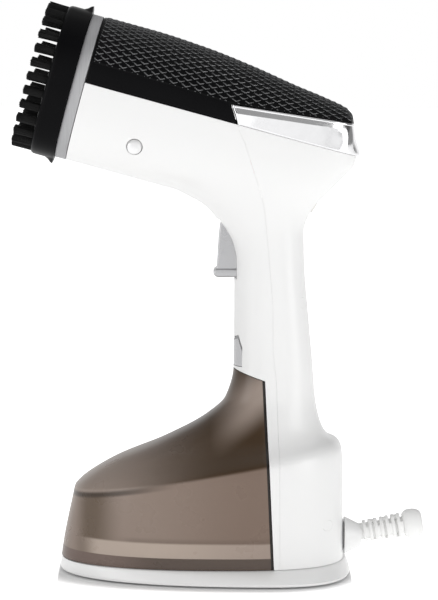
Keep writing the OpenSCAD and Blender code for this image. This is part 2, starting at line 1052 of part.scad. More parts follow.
module filler_cap() {
    color([0.3, 0.24, 0.2])
        difference() {
            union() {
                rod_y(filler[0], filler_face + 0.3, filler_face + 2.3, filler[1], filler_r + 2);
                translate([filler[0], 41.8, filler[1]])
                    rotate([-90, 0, 0])
                        cylinder(h = 4, r1 = filler_r - 1.6, r2 = filler_r - 0.3);
                translate([filler[0], 0, 0]) {
                    box([-hinge_half, 46, filler[1] + 8], [hinge_half, 47.6, filler_axis[1]]);
                    rod_x(-hinge_half, hinge_half, filler_axis[0], filler_axis[1], 1.9);
                    box([-hinge_half, 47, filler[1] - 12.5], [hinge_half, 48.6, filler[1] - 9]);
                }
            }
            rod_x(-30, 10, filler_axis[0], filler_axis[1], hinge_pin_r + run_fit);
        }
}

module filler_pin() {
    color("silver")
        translate([filler[0], 0, 0])
            rod_x(-hinge_half - 3.3, hinge_half + 3.3, filler_axis[0], filler_axis[1], hinge_pin_r);
}

// ---------- brush ----------

module brush_grip(side) {
    rotate([90, 0, 0])
        linear_extrude(12, center = true)
            polygon([
                [brush_back - 0.1, side * (hh - 1)], [brush_back - 4.7, side * (hh - 1)],
                [brush_back - 1.3, side * (hh + grip_rise)], [brush_back - 0.1, side * (hh + grip_rise)]
            ]);
}

module brush_frame() {
    color([0.1, 0.1, 0.1])
        in_head()
            difference() {
                union() {
                    head_slab(brush_front, brush_back, hh + brush_lip, hw + brush_lip);
                    brush_grip(1);
                    brush_grip(-1);
                }
                head_slab(-30, 5, hh - brush_ring, hw - brush_ring);
                head_slab(brush_back - pocket_depth, 5, hh - pocket_edge, hw - pocket_edge);
            }
}

module bristle_tufts() {
    color([0.05, 0.05, 0.05])
        in_head()
            for (at = tuft_places)
                rod_x(brush_front - tuft_len, brush_front, at[0], at[1], tuft_d / 2);
}

// ---------- cord exit ----------

module swivel_socket() {
    color([0.8, 0.8, 0.8])
        difference() {
            union() {
                rod_x(72.2, 74, 0, swivel_z, collar_r);
                rod_x(74, swivel_face - 0.6, 0, swivel_z, sleeve_r - run_fit);
            }
            rod_x(70, 80, 0, swivel_z, journal_r + run_fit);
        }
}

module in_relief() {
    translate([relief_x, 0, swivel_z])
        rotate([0, -relief_tilt, 0])
            children();
}

module swivel_housing() {
    color("white")
        difference() {
            union() {
                rod_x(68.5, swivel_face, 0, swivel_z, journal_r);
                translate([swivel_face, 0, swivel_z])
                    rotate([0, 90, 0])
                        rotate_extrude()
                            polygon([[0, 0], [10.5, 0], [10.2, 1], [8.2, 5], [5.8, 9.8], [0, 9.8]]);
            }
            in_relief() {
                rod_x(relief_start, 20, 0, 0, relief_core);
                rod_x(-4, relief_start + 1, 0, 0, cord_r);
            }
            rod_x(68, 74, 0, swivel_z, 5);
        }
}

module swivel_ring() {
    color("silver")
        difference() {
            rod_x(ring_x, ring_x + 1.3, 0, swivel_z, journal_r + 2);
            rod_x(ring_x - 1, ring_x + 2, 0, swivel_z, journal_r);
        }
}

module relief_bulb() {
    length = relief_end - bulb_start;
    translate([bulb_start, 0, 0])
        rotate([0, 90, 0])
            rotate_extrude()
                polygon([
                    [0, 0], [6.4, 0], [8.2, 2.4], [8.2, 7.2], [6.2, length - 0.6], [5, length], [0, length]
                ]);
}

module strain_relief() {
    pitch = (bulb_start - rib_start) / rib_count;
    color("white")
        in_relief()
            difference() {
                union() {
                    rod_x(relief_start, bulb_start + 1.6, 0, 0, relief_core);
                    for (i = [0 : rib_count - 1])
                        translate([rib_start + i * pitch, 0, 0])
                            rod_x(0, 0.6 * pitch, 0, 0, 6 + 0.16 * i);
                    relief_bulb();
                }
                rod_x(relief_start - 0.2, relief_end + 1, 0, 0, cord_r);
            }
}

module clamp_screw_places() {
    for (s = [-1, 1])
        translate([clamp_screw[0], s * clamp_screw[1], 0])
            children();
}

module cord_clamp() {
    color([0.8, 0.8, 0.78])
        difference() {
            box([clamp_x[0], -clamp_half, rim_h], [clamp_x[1], clamp_half, rim_h + clamp_h]);
            rod_x(clamp_x[0] - 1, clamp_x[1] + 1, 0, rim_h + clamp_h + 0.6, cord_r);
            clamp_screw_places()
                cylinder(h = 20, r = small_screw_r);
        }
}

module clamp_screws() {
    color("silver")
        clamp_screw_places() {
            translate([0, 0, 6])
                cylinder(h = rim_h + clamp_h - 6, r = small_screw_r);
            translate([0, 0, rim_h + clamp_h])
                cylinder(h = 1.6, r = small_screw_r + 1);
        }
}

// ---------- base ----------

module tray_ring_places() {
    for (x = [-1, 1], y = [-1, 1])
        translate([x * base_screw[0], y * base_screw[1], 0])
            children();
}

module base_tray() {
    color("white")
        difference() {
            skin([
                [for (k = base_ring(1)) [k[0], k[1], 1]],
                [for (k = base_ring(0)) [k[0], k[1], 2.6]],
                [for (k = oval(78.4, bw + 0.6, 2.4)) [k[0] + 0.2, k[1], rim_h]]
            ]);
            difference() {
                plan_slab(0, rim_h - tray_roof, tray_inner, bw);
                tray_ring_places()
                    translate([0, 0, plate_high])
                        cylinder(h = 5, r = 4);
            }
            tray_ring_places()
                cylinder(h = 7, r = screw_r);
            clamp_screw_places()
                translate([0, 0, 5])
                    cylinder(h = 10, r = small_screw_r);
        }
}

module base_plate() {
    color([0.85, 0.85, 0.85])
        difference() {
            plan_slab(plate_low, plate_high, tray_inner - 0.3, bw - 0.3);
            tray_ring_places() {
                cylinder(h = 10, r = screw_r);
                cylinder(h = plate_low + 1.1, r = screw_r + 1.3);
            }
        }
}

module base_pad() {
    color([0.12, 0.12, 0.12])
        plan_slab(0, pad_t, 52, 36);
}

module base_screws() {
    color("silver")
        tray_ring_places() {
            translate([0, 0, plate_low + 0.1])
                cylinder(h = 1, r = screw_r + 1.3);
            translate([0, 0, plate_low + 1.1])
                cylinder(h = 4.4, r = screw_r);
        }
}

// ---------- nodes ----------

front_shell();
rear_shell();
top_cover();
rear_trim();
head_band();
side_screws();
steam_plate();
plate_seal();
boiler();
heating_element();
terminal_block();
thermostat();
thermal_fuse();
fuse_clip();
boiler_screws();
sensor_screws();
boiler_lead();
trigger();
trigger_pin();
trigger_spring();
trigger_switch();
switch_plunger();
release_button();
release_spring();
control_board();
pilot_lens();
water_pump();
suction_hose();
feed_hose();
inlet_socket();
tank_shell();
tank_floor();
tank_valve();
valve_seal();
filler_cap();
filler_pin();
brush_frame();
bristle_tufts();
swivel_socket();
swivel_housing();
swivel_ring();
strain_relief();
cord_clamp();
clamp_screws();
base_tray();
base_plate();
base_pad();
base_screws();
body_screws();
screw_plugs();
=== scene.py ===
"""Looks of a garment steamer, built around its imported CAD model.

Shapes are worked out in millimetres in the CAD frame: X runs from the brush to the cord,
Y is the width, Z is up. They become metres when a mesh is made.
"""

import math

import bmesh
import bpy
import numpy as np
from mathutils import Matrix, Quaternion, Vector, kdtree


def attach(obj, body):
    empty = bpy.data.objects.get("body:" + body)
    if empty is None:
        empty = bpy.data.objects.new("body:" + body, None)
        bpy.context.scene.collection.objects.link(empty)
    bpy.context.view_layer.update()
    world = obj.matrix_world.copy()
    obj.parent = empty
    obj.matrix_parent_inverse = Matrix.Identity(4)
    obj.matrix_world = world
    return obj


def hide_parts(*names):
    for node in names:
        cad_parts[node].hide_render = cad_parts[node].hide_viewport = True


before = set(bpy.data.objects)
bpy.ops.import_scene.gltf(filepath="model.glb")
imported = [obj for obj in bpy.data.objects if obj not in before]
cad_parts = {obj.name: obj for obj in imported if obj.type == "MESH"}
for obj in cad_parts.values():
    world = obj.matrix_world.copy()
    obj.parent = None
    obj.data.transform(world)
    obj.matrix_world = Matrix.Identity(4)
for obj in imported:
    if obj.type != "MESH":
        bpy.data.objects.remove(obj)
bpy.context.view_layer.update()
MM = 0.001

# ---------- driving dimensions, as in the CAD ----------

WALL = 2.2
HEAD_AT = (-66.0, 265.5)
HEAD_TILT = math.radians(15)
HEAD_H = 40.0
HEAD_W = 33.0
HEAD_N = 2.4
COVER_Q = 4.3
TRIM_FOOT = (84.6, COVER_Q)
TRIM_TOP = (78.5, 13.8)
TRIM_END = (160.0, 22.3)
BAND_T = 6.2
BRUSH_BACK = -6.5
BRUSH_FRONT = -19.7
TUFT_TIP = -31.2
BRUSH_LIP = 1.4
TUFT_PITCH = 7.7
RIM_H = 8.0
BASE_HALF = 54.0
BASE_WIDE_X = 30.0
BASE_REACH = (109.0, 51.0)
BASE_FULL = (2.3, 2.8)
GRIP_HALF = 17.5
BODY_HALF = 45.0
GAP = 0.35

# Head: place along the axis, top, underside and half-width
HEAD_RINGS = [
    (-6, 40, -40, 33),
    (0, 40, -40, 33),
    (27.6, 40, -40, 32.7),
    (55.2, 38.8, -40, 32),
    (85.1, 35.6, -40, 30.5),
    (110, 31.8, -39.4, 28.5),
    (130, 29.2, -34, 26),
    (140, 27.2, -24, 23.3),
    (143.6, 24.9, -18, 21.8),
    (146, 20.4, -13.4, 20.4),
    (148.6, 14.1, -8.6, 17.6),
    (151.1, 9.9, -5, 14),
    (153.2, 6.8, -1.2, 9),
]

# Body, base to head: front x and z, rear x and z, widest x, half-width, fullness front and rear
BODY_RINGS = [
    (-79.4, 0, 78.2, 0, 5, BODY_HALF + 0.3, 2.3, 2.6),
    (-78.6, RIM_H, 77.5, RIM_H, 5, BODY_HALF, 2.3, 2.6),
    (-72.3, 42, 76.5, 64, 5, BODY_HALF - 1.3, 2.3, 2.6),
    (-71.3, 46.4, 75.8, 70, 5, BODY_HALF - 1.9, 2.3, 2.6),
    (-69.0, 49.2, 73.6, 73.2, 5, BODY_HALF - 4, 2.3, 2.6),
    (-52, 60.8, 69, 75.4, 8, BODY_HALF - 10, 2.1, 2.5),
    (-23, 73.2, 65.5, 80, 14, BODY_HALF - 16, 2.1, 2.4),
    (1, 86.4, 62.3, 90, 22, GRIP_HALF + 5.8, 2.1, 2.4),
    (11.6, 96.6, 60.9, 98.5, 30, GRIP_HALF + 2.5, 2.2, 2.4),
    (15.9, 113.3, 59.6, 114, 37, GRIP_HALF + 0.6, 2.3, 2.4),
    (16, 140, 57, 141, 36.5, GRIP_HALF, 2.3, 2.4),
    (15.9, 172, 54.4, 170, 35, GRIP_HALF - 0.2, 2.3, 2.4),
    (14, 182, 53.8, 188, 34, GRIP_HALF + 0.2, 2.3, 2.4),
    (7.2, 193.6, 56, 196, 32, GRIP_HALF + 1.8, 2.3, 2.4),
    (-2, 203.3, 63, 206.7, 31, GRIP_HALF + 4.6, 2.3, 2.4),
    (-14, 209.8, 72.3, 216.1, 30, GRIP_HALF + 7, 2.3, 2.4),
    (-18, 222, 72, 236, 29, GRIP_HALF + 5, 2.3, 2.4),
]

SEAM = [
    (17.5, 245), (20.8, 238), (24, 228), (28.5, 214.4), (31.2, 205), (33, 191),
    (34.8, 172), (36.9, 150), (37.2, 125), (39.2, 108), (40.9, 66), (41.7, 0),
]
BAY_FOOT = (38.72, 0.0)
BAY_CORNER = (33.1, 107.7)
BAY_FRONT = (10.0, 115.27)
BAY_WALL = 2.5
BAY_LEAN = 0.52
PIVOT = (16.6, 190.2)
TRIGGER_W = 14.0
BUTTON_HALF = 12.0
BUTTON_Z = (114.9, 131.6)
BUTTON_DROP = 1.6
LATCH_X = 22.5
FILLER = (-8.0, 30.0)
FILLER_R = 9.0
VALVE_Z = 20.0
SWIVEL_Z = 19.0
RELIEF_X = 75.0
RELIEF_TILT = math.radians(9.5)
CORD_R = 3.3
PLUG_AT = (34.5, -21.8)
PLUG_R = 4.4
LENS_AT = (59.4, 0.0, 201.2)
LENS_TILT = math.radians(123)

# ---------- detail of the cover and the trim ----------

# Cover: size and height of its scales, their edges and their painted glint strokes as shares of a scale, its
# smooth band and its rim
SCALE_ALONG, SCALE_ACROSS = 7.0, 3.7
SCALE_STEP = 0.14
GLINT_STROKE = 0.8 * SCALE_STEP
SCALE_HEIGHT, FIELD_LIFT = 0.7, 0.22
BAND_TOP = 15.4
COVER_SINK, EDGE_DROP = 0.2, 0.45

# Trim: height of its bead, and where its crease starts and how fast it rises
BEAD = 1.4
CREASE_FOOT, CREASE_RISE = (85.8, 10.1), 0.1204

# ---------- small maths ----------


def smooth(x):
    """Soft step from 0 to 1."""
    x = np.clip(x, 0, 1)
    return x * x * (3 - 2 * x)


def spow(v, e):
    """Power that keeps the sign."""
    return np.sign(v) * np.abs(v) ** e


def monotone(x, xs, ys):
    """Smooth curve through the points (xs, ys) that never overshoots them."""
    xs, ys = np.asarray(xs, float), np.asarray(ys, float)
    h = np.diff(xs)
    d = np.diff(ys) / h
    m = np.zeros(len(xs))
    m[0], m[-1] = d[0], d[-1]
    rising = d[:-1] * d[1:] > 0
    w1, w2 = 2 * h[1:] + h[:-1], h[1:] + 2 * h[:-1]
    inner = np.zeros(len(d) - 1)
    inner[rising] = (w1 + w2)[rising] / (w1[rising] / d[:-1][rising] + w2[rising] / d[1:][rising])
    m[1:-1] = inner
    i = np.clip(np.searchsorted(xs, x) - 1, 0, len(xs) - 2)
    t = (np.asarray(x, float) - xs[i]) / h[i]
    t2, t3 = t * t, t * t * t
    a = (2 * t3 - 3 * t2 + 1) * ys[i] + (t3 - 2 * t2 + t) * h[i] * m[i]
    return a + (3 * t2 - 2 * t3) * ys[i + 1] + (t3 - t2) * h[i] * m[i + 1]


def head_size(p):
    """Top, underside and half-width of the head at p along its axis."""
    columns = list(zip(*HEAD_RINGS))
    return [monotone(p, columns[0], c) for c in columns[1:]]


def from_head(p, y, q):
    """Points of the head frame in the row frame."""
    c, s = math.cos(HEAD_TILT), math.sin(HEAD_TILT)
    p, y, q = np.broadcast_arrays(*[np.asarray(v, float) for v in (p, y, q)])
    return np.stack([HEAD_AT[0] + p * c + q * s, y, HEAD_AT[1] - p * s + q * c], -1)


def head_half(p, q):
    """Half-width of the head's skin at height q."""
    top, low, half = head_size(p)
    f = np.clip(np.abs(q - (top + low) / 2) / ((top - low) / 2), 0, 1)
    return half * (1 - f**HEAD_N) ** (1 / HEAD_N)


def turns(count):
    """Angles of count points round a circle."""
    return np.arange(count) * 2 * math.pi / count


def oval(count, a, b, n=HEAD_N):
    """Closed oval: a along the first axis, b along the second."""
    t = turns(count)
    return np.stack([a * spow(np.cos(t), 2 / n), b * spow(np.sin(t), 2 / n)], -1)


# ---------- meshes ----------


def read(items, key, width=1, kind=float):
    """One attribute of a mesh's vertices, edges, faces or corners, as an array."""
    values = np.zeros(len(items) * width, kind)
    items.foreach_get(key, values)
    return values.reshape(-1, width) if width > 1 else values


def tree_of(points):
    """Search tree over the points."""
    tree = kdtree.KDTree(len(points))
    for i, point in enumerate(points):
        tree.insert(point, i)
    tree.balance()
    return tree


def flat_ring(points, z):
    """Points in x and y, at height z."""
    return np.column_stack([points[:, 0], points[:, 1], np.full(len(points), z)])


def lengths(x, y):
    """Length along a line of points, up to each of them."""
    return np.concatenate([[0], np.cumsum(np.hypot(np.diff(x), np.diff(y)))])


def add_object(name, data):
    """New object in the scene."""
    obj = bpy.data.objects.new(name, data)
    bpy.context.scene.collection.objects.link(obj)
    return obj


def mesh_object(name, points, faces):
    """Object from points in millimetres."""
    mesh = bpy.data.meshes.new(name)
    mesh.from_pydata((np.asarray(points, float) * MM).tolist(), [], [list(map(int, f)) for f in faces])
    mesh.validate()
    return add_object(name, mesh)


def grid_faces(rows, cols, round_rows=False, round_cols=False, first=0):
    """Quads of a grid of rows x cols points, numbered row by row."""
    r = np.arange(rows if round_rows else rows - 1)
    c = np.arange(cols if round_cols else cols - 1)
    r, c = np.meshgrid(r, c, indexing="ij")
    r2, c2 = (r + 1) % rows, (c + 1) % cols
    quads = np.stack([r * cols + c, r2 * cols + c, r2 * cols + c2, r * cols + c2], -1)
    return (quads.reshape(-1, 4) + first).tolist()


def outward(obj, weld=True):
    """Makes every face point out of a closed mesh, welded first unless told not to."""
    bm = bmesh.new()
    bm.from_mesh(obj.data)
    if weld:
        bmesh.ops.remove_doubles(bm, verts=bm.verts, dist=1e-7)
        bmesh.ops.dissolve_degenerate(bm, dist=1e-8, edges=bm.edges)
    bmesh.ops.recalc_face_normals(bm, faces=bm.faces)
    bm.to_mesh(obj.data)
    bm.free()
    return obj


def tube_mesh(name, rings):
    """Closed skin over rings with the same number of points, with flat ends."""
    rings = np.asarray(rings, float)
    m, n = rings.shape[:2]
    faces = grid_faces(m, n, round_cols=True)
    faces += [list(range(n)), list(range((m - 1) * n, m * n))[::-1]]
    return outward(mesh_object(name, rings.reshape(-1, 3), faces))


def ring_sweep(name, profile, count=200, n=HEAD_N):
    """A profile of (p, half-height, half-width) points swept round the head's axis: a closed ring."""
    rows = []
    for p, a, b in profile:
        o = oval(count, a, b, n)
        rows.append(from_head(p, o[:, 1], o[:, 0]))
    points = np.array(rows).reshape(-1, 3)
    return outward(mesh_object(name, points, grid_faces(len(profile), count, True, True)))


def lathe(name, profile, count=64, place=None):
    """A closed profile of (along, radius) points turned about X, then placed by a function."""
    a = turns(count)
    points = np.array([(x, r * math.cos(t), r * math.sin(t)) for x, r in profile for t in a])
    if place:
        points = place(points)
    return outward(mesh_object(name, points, grid_faces(len(profile), count, True, True)))


def extrude(name, ends):
    """Closed solid between two outlines with the same number of points."""
    n = len(ends[0])
    faces = [[i, (i + 1) % n, n + (i + 1) % n, n + i] for i in range(n)]
    faces += [list(range(n)), list(range(n, 2 * n))[::-1]]
    return outward(mesh_object(name, [*ends[0], *ends[1]], faces))


def prism(name, outline, half, y=0.0):
    """Outline in x and z, extruded along Y."""
    return extrude(name, [[(x, y + s * half, z) for x, z in outline] for s in (-1, 1)])


def head_prism(name, outline):
    """Outline in p and q, extruded along Y past both sides."""
    points = [from_head(p, 0, q) for p, q in outline]
    return prism(name, [(float(x), float(z)) for x, _, z in points], 90.0)


def rod(name, start, end, radius, count=48):
    """Closed cylinder from start to end."""
    start, end = np.asarray(start, float), np.asarray(end, float)
    axis = (end - start) / np.linalg.norm(end - start)
    side = np.cross(axis, (0.0, 0.0, 1.0) if abs(axis[2]) < 0.9 else (1.0, 0.0, 0.0))
    side /= np.linalg.norm(side)
    up = np.cross(axis, side)
    t = turns(count)
    ring = radius * (np.outer(np.cos(t), side) + np.outer(np.sin(t), up))
    return tube_mesh(name, [start + ring, end + ring])


def block(name, low, high):
    """Plain box, used to cut with."""
    (x0, y0, z0), (x1, y1, z1) = low, high
    return prism(name, [(x0, z0), (x1, z0), (x1, z1), (x0, z1)], (y1 - y0) / 2, (y0 + y1) / 2)


def take_mesh(obj):
    """Bakes obj's modifiers into its mesh."""
    bpy.context.view_layer.update()
    done = bpy.data.meshes.new_from_object(obj.evaluated_get(bpy.context.evaluated_depsgraph_get()))
    obj.modifiers.clear()
    obj.data = done


def cut(obj, operation, *tools):
    """Boolean of obj with each tool; the tools are used up."""
    for tool in tools:
        m = obj.modifiers.new("cut", "BOOLEAN")
        m.operation = operation
        m.solver = "MANIFOLD"
        m.object = tool
        take_mesh(obj)
        bpy.data.objects.remove(tool)


def copy(obj, name):
    """Second object with a mesh of its own."""
    twin = obj.copy()
    twin.data = obj.data.copy()
    twin.name = name
    bpy.context.scene.collection.objects.link(twin)
    return twin


def join(name, *objs):
    """One object from several, with their materials."""
    bm = bmesh.new()
    materials = []
    for o in objs:
        first = len(materials)
        materials += list(o.data.materials)
        before = len(bm.faces)
        bm.from_mesh(o.data)
        bm.faces.ensure_lookup_table()
        for f in bm.faces[before:]:
            f.material_index += first
    mesh = bpy.data.meshes.new(name)
    bm.to_mesh(mesh)
    bm.free()
    for m in materials:
        mesh.materials.append(m)
    obj = add_object(name, mesh)
    for o in objs:
        bpy.data.objects.remove(o)
    return obj


def bevel(obj, width, segments, angle):
    """Rounds the edges that are sharper than angle."""
    m = obj.modifiers.new("bevel", "BEVEL")
    m.width = width * MM
    m.segments = segments
    m.limit_method = "ANGLE"
    m.angle_limit = math.radians(angle)
    m.use_clamp_overlap = True
    take_mesh(obj)


def shade(obj, angle):
    """Smooth shading that keeps the edges sharper than angle."""
    obj.data.polygons.foreach_set("use_smooth", [True] * len(obj.data.polygons))
    obj.data.set_sharp_from_angle(angle=math.radians(angle))
    obj.data.update()


def finish_piece(obj, body, slot, material, *nodes, angle=35):
    """Material, shading, body and the CAD nodes that the piece stands for."""
    if material is not None:
        obj.data.materials.clear()
        obj.data.materials.append(material)
    shade(obj, angle)
    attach(obj, body)
    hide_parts(*nodes)


# ---------- skins of the head and the body ----------


def head_skin(name, inset=0.0, count=128, step=1.5):
    """Closed skin of the head, drawn in by inset."""
    p0, p1 = HEAD_RINGS[0][0], HEAD_RINGS[-1][0]
    rings = []
    for p in np.linspace(p0, p1, int((p1 - p0) / step)):
        top, low, half = head_size(p)
        top, low, half = top - inset, low + inset, half - inset
        o = oval(count, (top - low) / 2, half)
        if p < p1 - inset:
            rings.append(from_head(p, o[:, 1], o[:, 0] + (top + low) / 2))
    return tube_mesh(name, rings)


def body_ring(t, inset=0.0, count=128):
    """One flat oval of the body's skin; t counts the rings of BODY_RINGS."""
    columns = np.array(BODY_RINGS, float).T
    step = np.diff(columns[:4])
    places = np.concatenate([[0], np.cumsum(np.hypot(step[0] + step[2], step[1] + step[3]))])
    at = np.interp(t, np.arange(len(places)), places)
    xf, zf, xr, zr, x0, half, nf, nr = [monotone(at, places, c) for c in columns]
    slope = (zr - zf) / (xr - xf)
    a = turns(count)
    c, s = np.cos(a), np.sin(a)
    n = np.where(c < 0, nf, nr)
    reach = np.where(c < 0, x0 - xf, xr - x0) - inset
    x = x0 + reach * spow(c, 2 / n)
    flare = math.hypot(slope, 1)
    z = zf + (x - xf) * slope - inset * (flare - 1)
    return np.stack([x, (half - inset) * spow(s, 2 / n), z], -1)


def body_skin(name, inset=0.0, first=0.0, last=16.0, per=10, count=128):
    """Closed skin of the body between two of its rings, drawn in by inset."""
    ts = np.linspace(first, last, int((last - first) * per) + 1)
    return tube_mesh(name, [body_ring(t, inset, count) for t in ts])


# ---------- zones that the mouldings are cut by ----------

FAR = 400.0


def cover_zone(name):
    """Everything above the lower edge of the cover."""
    return head_prism(name, [(-20, COVER_Q), (200, COVER_Q), (200, 90), (-20, 90)])


def front_zone(name, shift=0.0):
    """Everything in front of the seam between the shells."""
    line = [(x + shift, z) for x, z in SEAM]
    line[-1] = (SEAM[-1][0] + shift, -10)
    return prism(name, line + [(-200, -10), (-200, FAR), (SEAM[0][0] + shift, FAR)], 90)


def bay_zone(name):
    """Room for the tank, in front of the partition."""
    return prism(name, [
        (BAY_FOOT[0] + BAY_LEAN, -10), BAY_CORNER, BAY_FRONT, (-200, BAY_FRONT[1]), (-200, -10),
    ], 90)


def bay_partition(name):
    """Wall between the tank and the inside of the body."""
    return prism(name, [
        (BAY_FOOT[0] + BAY_LEAN, -10), BAY_CORNER, BAY_FRONT, (BAY_FRONT[0], BAY_FRONT[1] + 2.3),
        (BAY_CORNER[0] + BAY_WALL, BAY_CORNER[1] + 1.4), (BAY_FOOT[0] + BAY_WALL + BAY_LEAN, -10),
    ], 90)


# ---------- materials ----------

# Crease of the tank in metres: how fast it rises with x, and its height at x = 0
TANK_RISE, TANK_CREASE = 0.18, 0.0578
# Nearly black: painted shadow in the gap between the tank and the body
GAP_SHADOW_BLACK = (0.012, 0.009, 0.007)


class Nodes:
    """Makes and links the shader nodes of a material or a world."""

    def __init__(self, owner):
        owner.use_nodes = True
        self.nodes, self.links = owner.node_tree.nodes, owner.node_tree.links

    def give(self, socket, value):
        """Links a socket to another one, or sets its number or colour."""
        if isinstance(value, bpy.types.NodeSocket):
            self.links.new(value, socket)
        else:
            socket.default_value = (*value, 1.0) if isinstance(value, tuple) else value

    def node(self, kind, **values):
        """New node; the values are its settings, or its inputs with _ for a space."""
        n = self.nodes.new(kind)
        for key, value in values.items():
            if hasattr(n, key):
                setattr(n, key, value)
            else:
                self.give(n.inputs[key.replace("_", " ")], value)
        return n

    def parts(self, vector):
        """Outputs x, y and z of a vector."""
        return self.node("ShaderNodeSeparateXYZ", Vector=vector).outputs

    def span(self, source, low, high, to_low=0.0, to_high=1.0, kind="SMOOTHSTEP"):
        """Maps a value from one range to another."""
        return self.node(
            "ShaderNodeMapRange", interpolation_type=kind,
            Value=source, From_Min=low, From_Max=high, To_Min=to_low, To_Max=to_high,
        ).outputs["Result"]

    def maths(self, operation, a, b=None):
        """Result of a sum, or of another operation, on one or two values."""
        n = self.node("ShaderNodeMath", operation=operation)
        for socket, value in zip(n.inputs, (a, b)):
            if value is not None:
                self.give(socket, value)
        return n.outputs["Value"]

    def times(self, a, b):
        """Product of two values."""
        return self.maths("MULTIPLY", a, b)

    def fade(self, factor, a, b):
        """Number between a and b."""
        return self.node("ShaderNodeMix", Factor=factor, A=a, B=b).outputs["Result"]

    def mix(self, factor, a, b):
        """Colour between a and b."""
        n = self.node("ShaderNodeMix", data_type="RGBA")
        for socket, value in ((n.inputs["Factor"], factor), (n.inputs[6], a), (n.inputs[7], b)):
            self.give(socket, value)
        return n.outputs[2]


class Paint(Nodes):
    """A Principled material with object-space textures."""

    def __init__(self, name, color, roughness, metallic=0.0, **inputs):
        self.material = bpy.data.materials.new(name)
        super().__init__(self.material)
        self.shader = self.nodes["Principled BSDF"]
        self.place = self.nodes.new("ShaderNodeTexCoord").outputs["Object"]
        self.set("Base Color", color)
        self.set("Roughness", roughness)
        self.set("Metallic", metallic)
        for key, value in inputs.items():
            self.set(key.replace("_", " "), value)

    def set(self, name, value):
        """Sets or links an input of the shader."""
        self.give(self.shader.inputs[name], value)

    def stretched(self, scale, turn):
        """Object coordinates turned, then scaled."""
        m = self.node("ShaderNodeMapping", vector_type="POINT", Vector=self.place)
        m.inputs["Rotation"].default_value = turn
        m.inputs["Scale"].default_value = scale
        return m.outputs["Vector"]

    def noise(self, scale, detail, place=None, roughness=0.5):
        """Noise, on the object coordinates or on another place."""
        return self.node(
            "ShaderNodeTexNoise", Scale=scale, Detail=detail, Roughness=roughness, Vector=place or self.place,
        ).outputs["Fac"]

    def bump(self, height, strength, distance):
        """Bump that stands in for a relief too fine to model."""
        n = self.node("ShaderNodeBump", Strength=strength, Distance=distance, Height=height)
        self.set("Normal", n.outputs["Normal"])

    def varied(self, color, other, scale, rough):
        """Two colours mixed by a soft noise, and roughness that varies by a finer one."""
        self.set("Base Color", self.mix(self.span(self.noise(scale, 4.0), 0.3, 0.7), color, other))
        self.set("Roughness", self.span(self.noise(scale * 3.1, 5.0), 0.3, 0.7, *rough))


def moulded_plastic(name, color, other, rough, grain=0.05, grain_scale=1400, **inputs):
    """Injection-moulded plastic: slight waviness and a fine grain."""
    p = Paint(name, color, rough[0], **inputs)
    p.varied(color, other, 22, rough)
    p.bump(p.noise(grain_scale, 2.0), grain, 0.0002)
    return p.material


def white_plastic(name, level):
    """Glossy white plastic of the given brightness."""
    return moulded_plastic(
        name, (level, level, level - 0.004), (level + 0.004, level + 0.004, level), (0.28, 0.31), 0.03,
        Specular_IOR_Level=0.45, Coat_Weight=0.12, Coat_Roughness=0.12,
    )


def brushed_metal(name, color, rough, along, turn, metallic):
    """Metal with fine straight scratches across one axis."""
    p = Paint(name, color, rough, metallic, Anisotropic=0.4)
    streak = p.noise(1.0, 4.0, p.stretched(along, turn), 0.6)
    p.set("Roughness", p.span(streak, 0.25, 0.75, rough - 0.07, rough + 0.09))
    darker = tuple(0.86 * c for c in color)
    p.set("Base Color", p.mix(p.span(streak, 0.3, 0.7), darker, color))
    p.bump(streak, 0.12, 0.00004)
    return p.material


def plain_metal(name, color, rough, wear=0.12):
    """Metal whose colour and roughness vary a little, as much as wear says."""
    p = Paint(name, color, rough, 1.0)
    p.varied(color, tuple((1 - wear) * c for c in color), 180, (rough - 0.4 * wear, rough + 0.6 * wear))
    p.bump(p.noise(2500, 3.0), 0.08, 0.00005)
    return p.material


def rubber(name, color, rough=0.62):
    """Matt rubber or silicone with a fine grain."""
    p = Paint(name, color, rough, Specular_IOR_Level=0.35)
    p.varied(color, tuple(1.15 * c + 0.004 for c in color), 60, (rough - 0.08, rough + 0.08))
    p.bump(p.noise(2200, 3.0), 0.15, 0.0001)
    return p.material


def tank_upper(p, x, z):
    """Tank above its crease: painted darker as shade, with paler painted highlights, reflections of the room,
    on the shoulder and across the neck.
    """
    # Painted highlights: a pale band on the shoulder and a diagonal pale lobe across the neck, over a dark
    # colour of painted shade.
    shoulder = p.span(x, 0.03, -0.06)
    shoulder = p.times(shoulder, shoulder)
    aside = p.maths("ADD", p.times(x, -0.59), p.times(z, 0.81))
    aside = p.maths("ABSOLUTE", p.maths("SUBTRACT", aside, 0.0635))
    neck = p.times(p.span(aside, 0.016, 0.002), p.span(x, -0.001, 0.028))
    return p.mix(p.maths("MAXIMUM", shoulder, neck), (0.055, 0.031, 0.014), (0.34, 0.275, 0.235))


